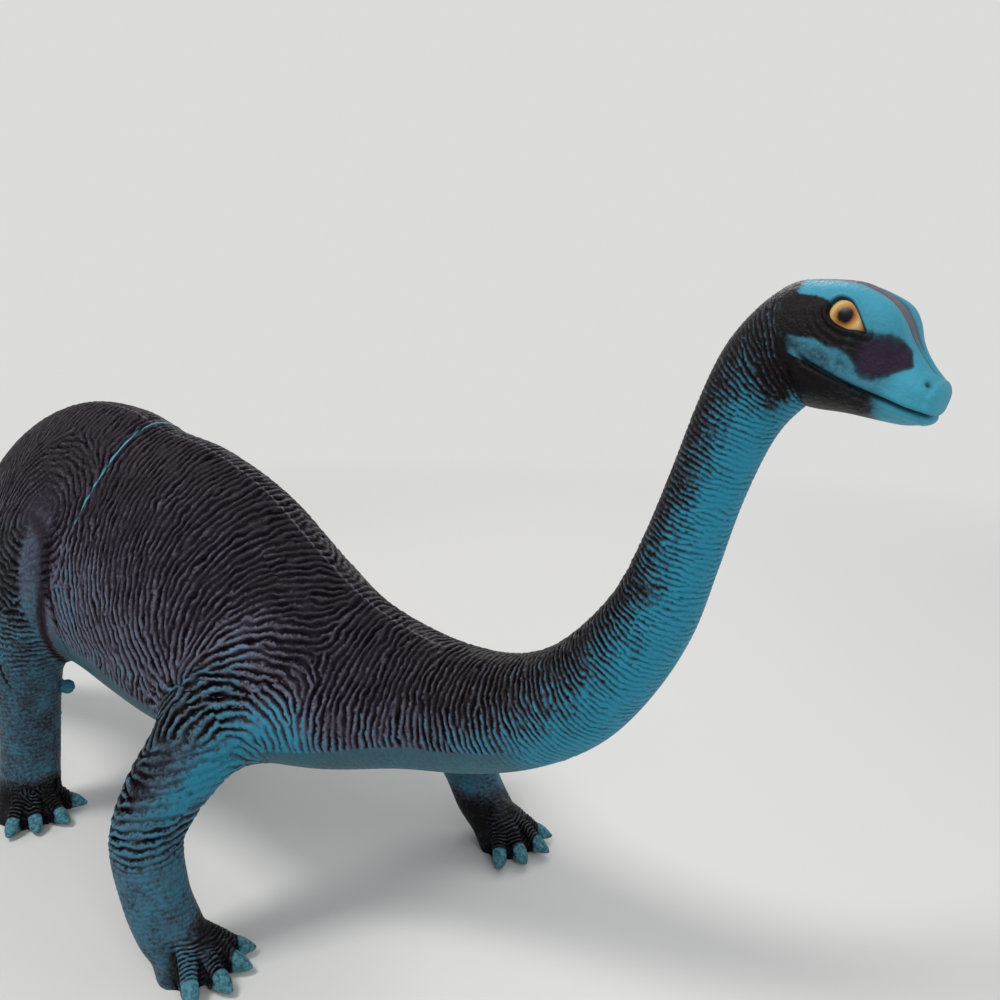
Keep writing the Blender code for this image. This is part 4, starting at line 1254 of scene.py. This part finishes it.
def leg_paint(skin):
    """Dark on the outer rear of the upper leg and on top of the toes, with painted shade in the gaps between
    the toes.
    """
    z = skin.points[:, 2] / MM
    side = LEGS[skin.name][3]
    rear_out = skin.out @ unit(np.array([-0.80, 0.60 * side, 0.25]))
    if "fore" in skin.name:
        dark = 0.28 + 0.34 * ease(42, 58, z) * ease(-0.35, 0.45, rear_out)
        dark = dark - 0.22 * ease(45, 60, z) * ease(-0.2, -0.7, rear_out)
        bright = 0.10 + 0.75 * ease(0.1, -0.6, rear_out) * ease(38, 58, z)
    else:
        dark = 0.40 + 0.36 * ease(70, 100, z)
        bright = 0.10 + 0.40 * hump(z, 72, 18)
    toes = ease(24, 14, z) * 0.84
    if skin.name == "right_foreleg":
        toes = ease(24, 14, z) * (0.36 + 0.44 * ease(-63, -51, skin.points[:, 1] / MM))
    # Painted shade in the gaps between the toes.
    dark = np.maximum.reduce([dark, toes, 0.97 * skin.toe_gap])
    if skin.name == "right_hind_leg":
        for *middle, radius in FLASH_NUBS:
            away = np.linalg.norm(skin.points / MM - middle, axis=1)
            dark = dark * ease(radius - 0.2, radius + 0.6, away)
    return dark, bright


def nail_mask(skin):
    """1 on the nails at the ends of the toes."""
    nail = np.zeros(len(skin.points))
    low = ease(11 * MM, 9 * MM, skin.points[:, 2])
    for along, beside, flesh, _ in toe_places(skin):
        near = low * ease(4.6 * MM, 4.0 * MM, beside)
        nail = np.maximum(nail, near * ease(flesh - 0.1 * MM, flesh + 0.5 * MM, along))
    return nail


def head_paint(skin):
    """The face: a dark band through the eye, a violet patch before it, a dark jaw, a mauve crown line."""
    along, turn = skin.along, skin.turn
    top, end = np.interp(along, BAND_PLACES, BAND_TOP), np.interp(along, BAND_PLACES, BAND_END)
    soft = np.interp(along, [0.2, 0.45, 0.6], [3.0, 4.5, 9.0])
    band = ease(top - soft, top + soft, turn) * ease(end + soft, end - soft, turn)
    band = band * ease(0.86, 0.74, along)
    level = np.interp(along, [0, 0.2, 0.34, 0.50, 0.8], [1.0, 0.95, 0.86, 0.84, 0.82])
    nape = ease(0.12, 0.03, along) * ease(92, 76, turn)
    front = ease(0.76, 0.60, along)
    jaw = ease(0.1 * MM, -0.5 * MM, skin.gap) * front
    under = ease(112, 128, turn) * front
    cheek = 0.42 * hump(turn, 85, 11) * ease(0.62, 0.40, along)
    dark = np.maximum.reduce([band * level, nape, 0.86 * jaw, 0.86 * under, cheek])
    from_neck = ease(0.11, 0.0, along)
    dark = dark * (1 - from_neck) + np.maximum(body_paint(skin)[0], 0.6 * dark) * from_neck
    bright = np.interp(turn, [0, 30, 70, 100, 130], [0.6, 1.0, 0.20, 0.25, 0.2])
    bright = np.maximum(bright, ease(0.6, 0.8, along))
    skin.values["violet"] = 1.6 * band * ease(0.40, 0.56, along) - 0.6
    crown = ease(0.06, 0.12, along) * (1 - ease(0.62, 0.78, along))
    skin.values["mauve"] = crown * ease(17, 12, turn)
    skin.values["dark"], skin.values["bright"] = dark, bright


def skin_paint(skin):
    """Spray and brightness of a casting and of the leg that runs into it, with painted shade in its creases
    and other marks.
    """
    fore, z = skin.points[:, 0] > FORE_FROM, skin.points[:, 2] / MM
    dark, bright = body_paint(skin)
    own_dark, own_bright = (0.55, 0.3) if skin.name == "trunk" else (0.70, 0.2)
    if skin.name in legs:
        own_dark, own_bright = leg_paint(skin)
        skin.values["nail"] = nail_mask(skin)
    share = ease(0.0, 1.0, skin.leg_share)
    # Painted shade, with a violet tint, in the fold where a hind leg meets the body.
    root = hump(skin.leg_share, 0.5, 0.16) * (skin.points[:, 0] < FORE_FROM)
    patch = near_place(skin, SHOULDER_PATCH, 8, 19) * fore
    dark = dark * (1 - share) + own_dark * share
    dark = dark * (1 - skin.strip) + np.interp(z, [70, 82, 100, 118], [0.20, 0.26, 0.34, 0.46]) * skin.strip
    # Painted shade in the thigh's crease, its serrated groove and the gaps between the toes.
    crease_shade = np.maximum.reduce([skin.crease, 0.9 * skin.serrated, skin.toe_gap])
    skin.values["dark"] = np.maximum.reduce([dark * (1 - 0.8 * patch), 0.9 * root, 0.95 * crease_shade])
    skin.values["bright"] = np.maximum(bright * (1 - share) + own_bright * share, 0.8 * patch)
    skin.values["pressed"] = np.maximum(0.6 * root, 0.9 * crease_shade)
    skin.values["violet"] = np.maximum(skin.strip * ease(80, 100, z), 0.8 * root)
    skin.values["violet"] += np.interp(skin.stations, [14, 18.5], [0.3, -0.6]) * (skin.name not in legs)
    skin.values["belly"] = belly_mask(skin)
    if skin.name in ("trunk", "hindquarters"):
        half_width = HIP_LINE_HALF_WIDTH * np.interp(skin.turn, [0, 30, 60, 80], [1.1, 0.9, 0.6, 0.45])
        line = hump(skin.lengths, length_at(HIP_SEAM_STATION), half_width)
        skin.values["bare"] = line * (1 - ease(62, 84, skin.turn))
        skin.values["spine"] = (1 - ease(12, 20, skin.turn)) * (1 - ease(14.6, 16, skin.stations))


for skin in SEEDED:
    skin_paint(skin)
head_paint(head)
print("paint values", sorted(trunk.values), sorted(head.values))

# %% [markdown]
# Soft vinyl is moulded with a fine pebble grain and painted matte, so it has broad, weak
# highlights, and only the dry-brushed ridges shine a little. The material mixes the coats by the
# masks, breaks their edges up with noise, darkens the grooves with the wash and with painted
# shade, lightens the ridges with dry-brushing, painted sheen and painted glints, and adds a fine
# pebble bump of about one millimetre.


# %% Material helpers
def colour(code):
    """A linear colour from an sRGB hex code."""
    parts = [int(code[place : place + 2], 16) / 255 for place in (1, 3, 5)]
    linear = [part / 12.92 if part <= 0.04045 else ((part + 0.055) / 1.055) ** 2.4 for part in parts]
    return (*linear, 1)


def fill(tree, node, inputs):
    """Sets a node's inputs, or links those that come from another node."""
    for key, value in inputs.items() if isinstance(inputs, dict) else enumerate(inputs):
        if isinstance(value, bpy.types.NodeSocket):
            tree.links.new(value, node.inputs[key])
        else:
            node.inputs[key].default_value = value


def add(tree, kind, inputs=(), out=0, **settings):
    """Adds a node, sets it up, fills its inputs and gives back one of its outputs."""
    node = tree.nodes.new("ShaderNode" + kind)
    for name, value in settings.items():
        setattr(node, name, value)
    fill(tree, node, inputs)
    return node.outputs[out]


def new_material(name):
    """A material with its node tree and its shader."""
    material = bpy.data.materials.new(name)
    material.use_nodes = True
    return material, material.node_tree, material.node_tree.nodes["Principled BSDF"]


# %% Painted vinyl
DEEP = colour("#0F0B0C")
VIOLET_DEEP = colour("#2C1E30")
# The half tones also show on the ridges, partly as painted sheen.
GREY_VIOLET = colour("#625E70")
GREY_BLUE = colour("#4A5B6C")
TEAL_DEEP = colour("#2C4F5C")
TURQUOISE_DULL = colour("#38697C")
TURQUOISE_BODY = colour("#2684A0")
TURQUOISE_HEAD = colour("#3F94AB")
TURQUOISE_BARE = colour("#478B9C")
# Near-black of the wash, and of the painted shade in the grooves
WASH_AND_SHADE = colour("#0B090E")
# Light grey-teal of the dry-brushing and of the painted glints on the ridges
CREST_AND_GLINT = colour("#7FA1B0")
BELLY = colour("#375C66")
NAIL = colour("#4F8795")
MAUVE = colour("#5F5C66")
SPINE_PLACE = -4.5 * MM
SPINE_HALF_WIDTH = 0.50 * MM
BLOTCH_SIZE = 8 * MM
BEAD_SIZE = 1.15 * MM
GRAIN_SIZE = 0.55 * MM
FOLD_RAGGEDNESS = 4.6
GROOVE_BUMP, BEAD_BUMP, GRAIN_BUMP = -0.30 * MM, 0.42 * MM, 0.16 * MM
BODY_VALUES = ("dark", "bright", "violet", "wave_cos", "wave_sin", "pressed")
PAINT_VALUES = BODY_VALUES + ("nail", "bare", "belly", "spine", "mauve")


def painted_vinyl(name, half_tone, bright_paint, blotch_share, bead_share):
    """Sprayed, dry-brushed vinyl with a wash, painted shade in the grooves and painted sheen and glints on
    the ridges. The shares say how far noise moves the paint's edges.
    """
    material, tree, shader = new_material(name)
    value = {key: add(tree, "Attribute", out="Fac", attribute_name=key) for key in PAINT_VALUES}
    dark, bright, violet, wave_cos, wave_sin, pressed = (value[key] for key in BODY_VALUES)
    place = add(tree, "TexCoord", out="Object")
    blotch, bead, grain = (
        add(tree, "TexNoise", {"Vector": place, "Scale": 1 / size, "Detail": 3, "Roughness": 0.6})
        for size in (BLOTCH_SIZE, BEAD_SIZE, GRAIN_SIZE)
    )
    # The wave of the folds, with noise in its place
    angle = add(tree, "Math", (wave_sin, wave_cos), operation="ARCTAN2")
    angle = add(tree, "Math", (bead, FOLD_RAGGEDNESS, angle), operation="MULTIPLY_ADD")
    angle = add(tree, "Math", (angle, FOLD_RAGGEDNESS / 2), operation="SUBTRACT")
    rib = add(tree, "Math", (angle,), operation="COSINE")
    rib = add(tree, "Math", (rib, 0.5, 0.5), operation="MULTIPLY_ADD")
    both = add(tree, "CombineXYZ", (wave_cos, wave_sin))
    strength = add(tree, "VectorMath", (both,), out="Value", operation="LENGTH")
    hollow = add(tree, "Math", (1.0, rib), operation="SUBTRACT")
    hollow = add(tree, "Math", (hollow, 2.6), operation="POWER")
    groove = add(tree, "Math", (hollow, strength), operation="MULTIPLY")
    raised = add(tree, "Math", (rib, strength), operation="MULTIPLY")
    # How bare of spray a point is, from its ridge, its bead, its blotch and the darkness there. The ridges
    # come out lighter, partly as dry-brushing and partly as painted sheen, and the grooves darker as painted
    # shade.
    parts = add(tree, "CombineXYZ", (raised, bead, blotch))
    weights = (0.62, bead_share, blotch_share)
    level = add(tree, "VectorMath", (parts, weights), out="Value", operation="DOT_PRODUCT")
    level = add(tree, "Math", (strength, -0.40, level), operation="MULTIPLY_ADD")
    level = add(tree, "Math", (dark, -0.95, level), operation="MULTIPLY_ADD")
    level = add(tree, "Math", (level, 0.92 - (bead_share + blotch_share) / 2), operation="ADD")
    cover = add(tree, "MapRange", (level, 0.10, 0.85), interpolation_type="SMOOTHSTEP")
    tint = add(tree, "Math", (violet, -0.35, level), operation="MULTIPLY_ADD")
    hue = add(tree, "MapRange", (tint, 0.36, 0.86), interpolation_type="SMOOTHSTEP")
    vivid = add(tree, "Math", (bright, hue), operation="MULTIPLY")
    deep = add(tree, "Mix", {0: violet, 6: DEEP, 7: VIOLET_DEEP}, out=2, data_type="RGBA")
    # Masks of the coats that lie over the spray, among them the painted glints on the ridges and the painted
    # shade in the grooves
    # Light specks on the ridge tops: partly dry-brushed paint, partly painted glints.
    fleck_and_glint = add(tree, "MapRange", (grain, 0.56, 0.70, 0.0, 0.55))
    fleck_and_glint = add(tree, "Math", (fleck_and_glint, raised), operation="MULTIPLY")
    fleck_and_glint = add(tree, "Math", (fleck_and_glint, cover), operation="MULTIPLY")
    belly = add(tree, "Math", (bead, 0.8, value["belly"]), operation="MULTIPLY_ADD")
    belly = add(tree, "MapRange", (belly, 0.80, 1.15, 0.0, 0.8))
    bare = add(tree, "Math", (bead, 0.35, value["bare"]), operation="MULTIPLY_ADD")
    bare = add(tree, "MapRange", (bare, 0.55, 0.75))
    across = add(tree, "SeparateXYZ", (place,), out="Y")
    across = add(tree, "Math", (across, SPINE_PLACE), operation="SUBTRACT")
    across = add(tree, "Math", (across,), operation="ABSOLUTE")
    line = add(tree, "MapRange", (across, SPINE_HALF_WIDTH, 0.0, 0.0, 0.9))
    line = add(tree, "Math", (line, value["spine"]), operation="MULTIPLY")
    # The grooves and pressed-in marks are darkened, partly as a wash and partly as painted shade.
    depth = add(tree, "MapRange", (dark, 0.0, 0.45, 0.55, 0.95))
    washed_and_shaded = add(tree, "Math", (groove, depth), operation="MULTIPLY")
    washed_and_shaded = add(tree, "Math", (pressed, 0.9, washed_and_shaded), operation="MULTIPLY_ADD", use_clamp=True)
    nail = add(tree, "MapRange", (bead, 0.38, 0.60, 0.35, 1.0))
    nail = add(tree, "Math", (nail, value["nail"]), operation="MULTIPLY")
    paint = half_tone
    for mask, under, over in (
        (hue, None, TURQUOISE_DULL),
        (vivid, None, bright_paint),
        (cover, deep, None),
        (fleck_and_glint, None, CREST_AND_GLINT),
        (belly, None, BELLY),
        (bare, None, TURQUOISE_BARE),
        (line, None, MAUVE),
        (washed_and_shaded, None, WASH_AND_SHADE),
        (value["mauve"], None, MAUVE),
        (nail, None, NAIL),
    ):
        layers = {0: mask, 6: under or paint, 7: over or paint}
        paint = add(tree, "Mix", layers, out=2, data_type="RGBA")
    # Bump and gloss: beads and grain stand up, and only clean ridges shine
    parts = add(tree, "CombineXYZ", (groove, bead, grain))
    heights = (GROOVE_BUMP, BEAD_BUMP, GRAIN_BUMP)
    height = add(tree, "VectorMath", (parts, heights), out="Value", operation="DOT_PRODUCT")
    gloss = add(tree, "Math", (strength, -0.5, raised), operation="MULTIPLY_ADD")
    results = {
        "Base Color": paint,
        "Roughness": add(tree, "MapRange", (bead, 0.35, 0.65, 0.50, 0.36)),
        "Normal": add(tree, "Bump", {"Height": height, "Strength": 0.9, "Distance": 1.0}),
        "Specular IOR Level": add(tree, "MapRange", (gloss, -0.5, 0.5, 0.0, 0.20)),
    }
    fill(tree, shader, results)
    return material


body_vinyl = painted_vinyl("painted_soft_vinyl", GREY_VIOLET, TURQUOISE_BODY, 0.60, 1.15)
leg_vinyl = painted_vinyl("painted_leg_vinyl", GREY_BLUE, TURQUOISE_BODY, 0.70, 1.05)
head_vinyl = painted_vinyl("painted_head_vinyl", TEAL_DEEP, TURQUOISE_HEAD, 0.55, 0.55)
print("materials", body_vinyl.name, leg_vinyl.name, head_vinyl.name)

# %% [markdown]
# The eyes are painted and varnished: cream at the rim, an orange ring and a black pupil. Each is
# a low dome that sits in its socket, and the almond shape comes from the lids round it.

# %% Eyes
PUPIL_BACK = 0.45 * MM
PUPIL_UP = 0.42 * MM
EYE_DOME = (4.9 * MM, 4.0 * MM, 2.3 * MM)
EYE_SUNK = 2.25 * MM
IRIS_GRAIN = 0.8 * MM
EYE_RINGS = 60
EYE_POINTS = 96
# Colours of the iris by their distance from the middle of the pupil, in mm.
EYE_RADII = (
    (0.0, "#0B0C10"),
    (1.18, "#0D0D10"),
    (1.38, "#3E2A16"),
    (1.75, "#8E5C2E"),
    (2.30, "#B98A4C"),
    (2.9, "#CDB07A"),
    (4.0, "#B98A4C"),
)


def eye_skin(name, side):
    point, outward, forward, upward = eye_axes(side)
    lifts = np.linspace(0.02, 1, EYE_RINGS) * math.pi / 2
    angles = even_angles(EYE_POINTS)
    length, tall, deep = EYE_DOME
    rings = []
    for lift in lifts[::-1]:
        x, y = length * math.sin(lift) * np.cos(angles), tall * math.sin(lift) * np.sin(angles)
        height = deep * math.cos(lift) - EYE_SUNK
        rings.append(point + x[:, None] * forward + y[:, None] * upward + height * outward)
    skin = ring_skin(name, np.array(rings))
    out = skin.points - point
    x, y = out @ forward + PUPIL_BACK, out @ upward - PUPIL_UP
    skin.values["iris"] = np.hypot(x, y) / MM
    if np.mean(dots(skin.normals(), out + outward * EYE_SUNK)) < 0:
        skin.flip()
    return skin


def eye_material():
    """Rings of paint round the pupil, under varnish."""
    material, tree, shader = new_material("varnished_eye_paint")
    place = add(tree, "TexCoord", out="Object")
    wobble = add(tree, "TexNoise", {"Vector": place, "Scale": 1 / IRIS_GRAIN})
    radius = add(tree, "Attribute", out="Fac", attribute_name="iris")
    radius = add(tree, "Math", (wobble, 0.5, radius), operation="MULTIPLY_ADD")
    radius = add(tree, "Math", (radius, 0.25), operation="SUBTRACT")
    radius = add(tree, "Math", (radius, EYE_RADII[-1][0]), operation="DIVIDE")
    rings = add(tree, "ValToRGB", (radius,))
    stops = rings.node.color_ramp.elements
    stops[0].color = colour(EYE_RADII[0][1])
    stops[1].color = colour(EYE_RADII[-1][1])
    for size, code in EYE_RADII[1:-1]:
        stops.new(size / EYE_RADII[-1][0]).color = colour(code)
    fill(tree, shader, {"Base Color": rings, "Roughness": 0.28, "Specular IOR Level": 0.10})
    return material


eye_paint = eye_material()
print("eyes in", eye_paint.name)

# %% [markdown]
# Each skin replaces its casting. The collar and the flanges inside are hidden by the skins, so
# they have none of their own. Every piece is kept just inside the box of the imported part.

# %% Objects
STANDS_FOR = {
    "trunk": "trunk_shell",
    "neck": "trunk_shell",
    "hindquarters": "hindquarters_shell",
    "tail": "tail_shell",
    "head": "head_shell",
}
INSIDE = 0.02 * MM
for name, skin in skins.items():
    skin.points = np.clip(skin.points, np.array(CAD_BOX[0]) + INSIDE, np.array(CAD_BOX[1]) - INSIDE)
    skin.points[:, 2] = np.maximum(skin.points[:, 2] - INSIDE, 0)
    obj = make_mesh(skin, name + "_skin")
    obj.data.materials.append(head_vinyl if name == "head" else leg_vinyl if name in legs else body_vinyl)
    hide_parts(STANDS_FOR.get(name, name))
    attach(obj, "root")

for name, side in (("right_eye", -1), ("left_eye", 1)):
    obj = make_mesh(eye_skin(name, side))
    obj.data.materials.append(eye_paint)
    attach(obj, "root")
print(len(skins), "skins and two eyes")

# %% [markdown]
# A plain pale floor and three soft lamps. The floor and the world look pale to the camera, and
# the lamps stay at a level at which a colour comes out about as it was written.

# %% Floor and light
FLOOR_REACH = 3
FLOOR_FADES = (0.42, 0.95)
PALE = colour("#E6E6E5")
PALE_STRENGTH = 0.9
floor_mesh = bpy.data.meshes.new("floor")
floor_corners = [(x * FLOOR_REACH, y * FLOOR_REACH, 0) for x, y in ((-1, -1), (1, -1), (1, 1), (-1, 1))]
floor_mesh.from_pydata(floor_corners, [], [(0, 1, 2, 3)])
floor = new_object("floor", floor_mesh)


def pale_table():
    """A pale table top that fades into the background, so that no horizon shows."""
    material, tree, shader = new_material("pale_table")
    fill(tree, shader, {"Base Color": colour("#DEDCD8"), "Roughness": 0.7})
    place = add(tree, "TexCoord", out="Object")
    away = add(tree, "VectorMath", (place,), out="Value", operation="LENGTH")
    share = add(tree, "MapRange", (away, *FLOOR_FADES), interpolation_type="SMOOTHSTEP")
    seen = add(tree, "LightPath", out="Is Camera Ray")
    share = add(tree, "Math", (share, seen), operation="MULTIPLY")
    glow = add(tree, "Emission", {"Color": PALE, "Strength": PALE_STRENGTH})
    mix = add(tree, "MixShader", (share, shader.outputs[0], glow))
    fill(tree, tree.nodes["Material Output"], (mix,))
    return material


floor_mesh.materials.append(pale_table())

world = bpy.data.worlds.new("studio")
world.use_nodes = True
world_tree = world.node_tree
rays = [add(world_tree, "LightPath", out=f"Is {kind} Ray") for kind in ("Camera", "Glossy", "Transmission")]
shown = add(world_tree, "Math", rays[:2], operation="MAXIMUM")
shown = add(world_tree, "Math", (shown, rays[2]), operation="MAXIMUM")
soft = add(world_tree, "Background", {"Color": colour("#E6EAF0"), "Strength": 0.50})
plain = add(world_tree, "Background", {"Color": PALE, "Strength": PALE_STRENGTH})
both = add(world_tree, "MixShader", (shown, soft, plain))
fill(world_tree, world_tree.nodes["World Output"], (both,))
bpy.context.scene.world = world
bpy.context.scene.view_settings.view_transform = "Standard"


def lamp(name, place, target, size, power):
    light = bpy.data.lights.new(name, "AREA")
    light.size = size
    light.energy = power
    obj = new_object(name, light)
    obj.location = place
    obj.rotation_euler = (Vector(target) - Vector(place)).to_track_quat("-Z", "Y").to_euler()


lamp("key", (-0.15, -0.55, 1.0), (0.05, 0, 0.06), 0.30, 6)
lamp("front", (0.9, -0.5, 0.7), (0.1, 0, 0.08), 0.4, 3.5)
lamp("rim", (-0.3, 0.8, 0.8), (0.05, 0, 0.08), 0.5, 3)
print("lamps", [light.name for light in bpy.data.lights])
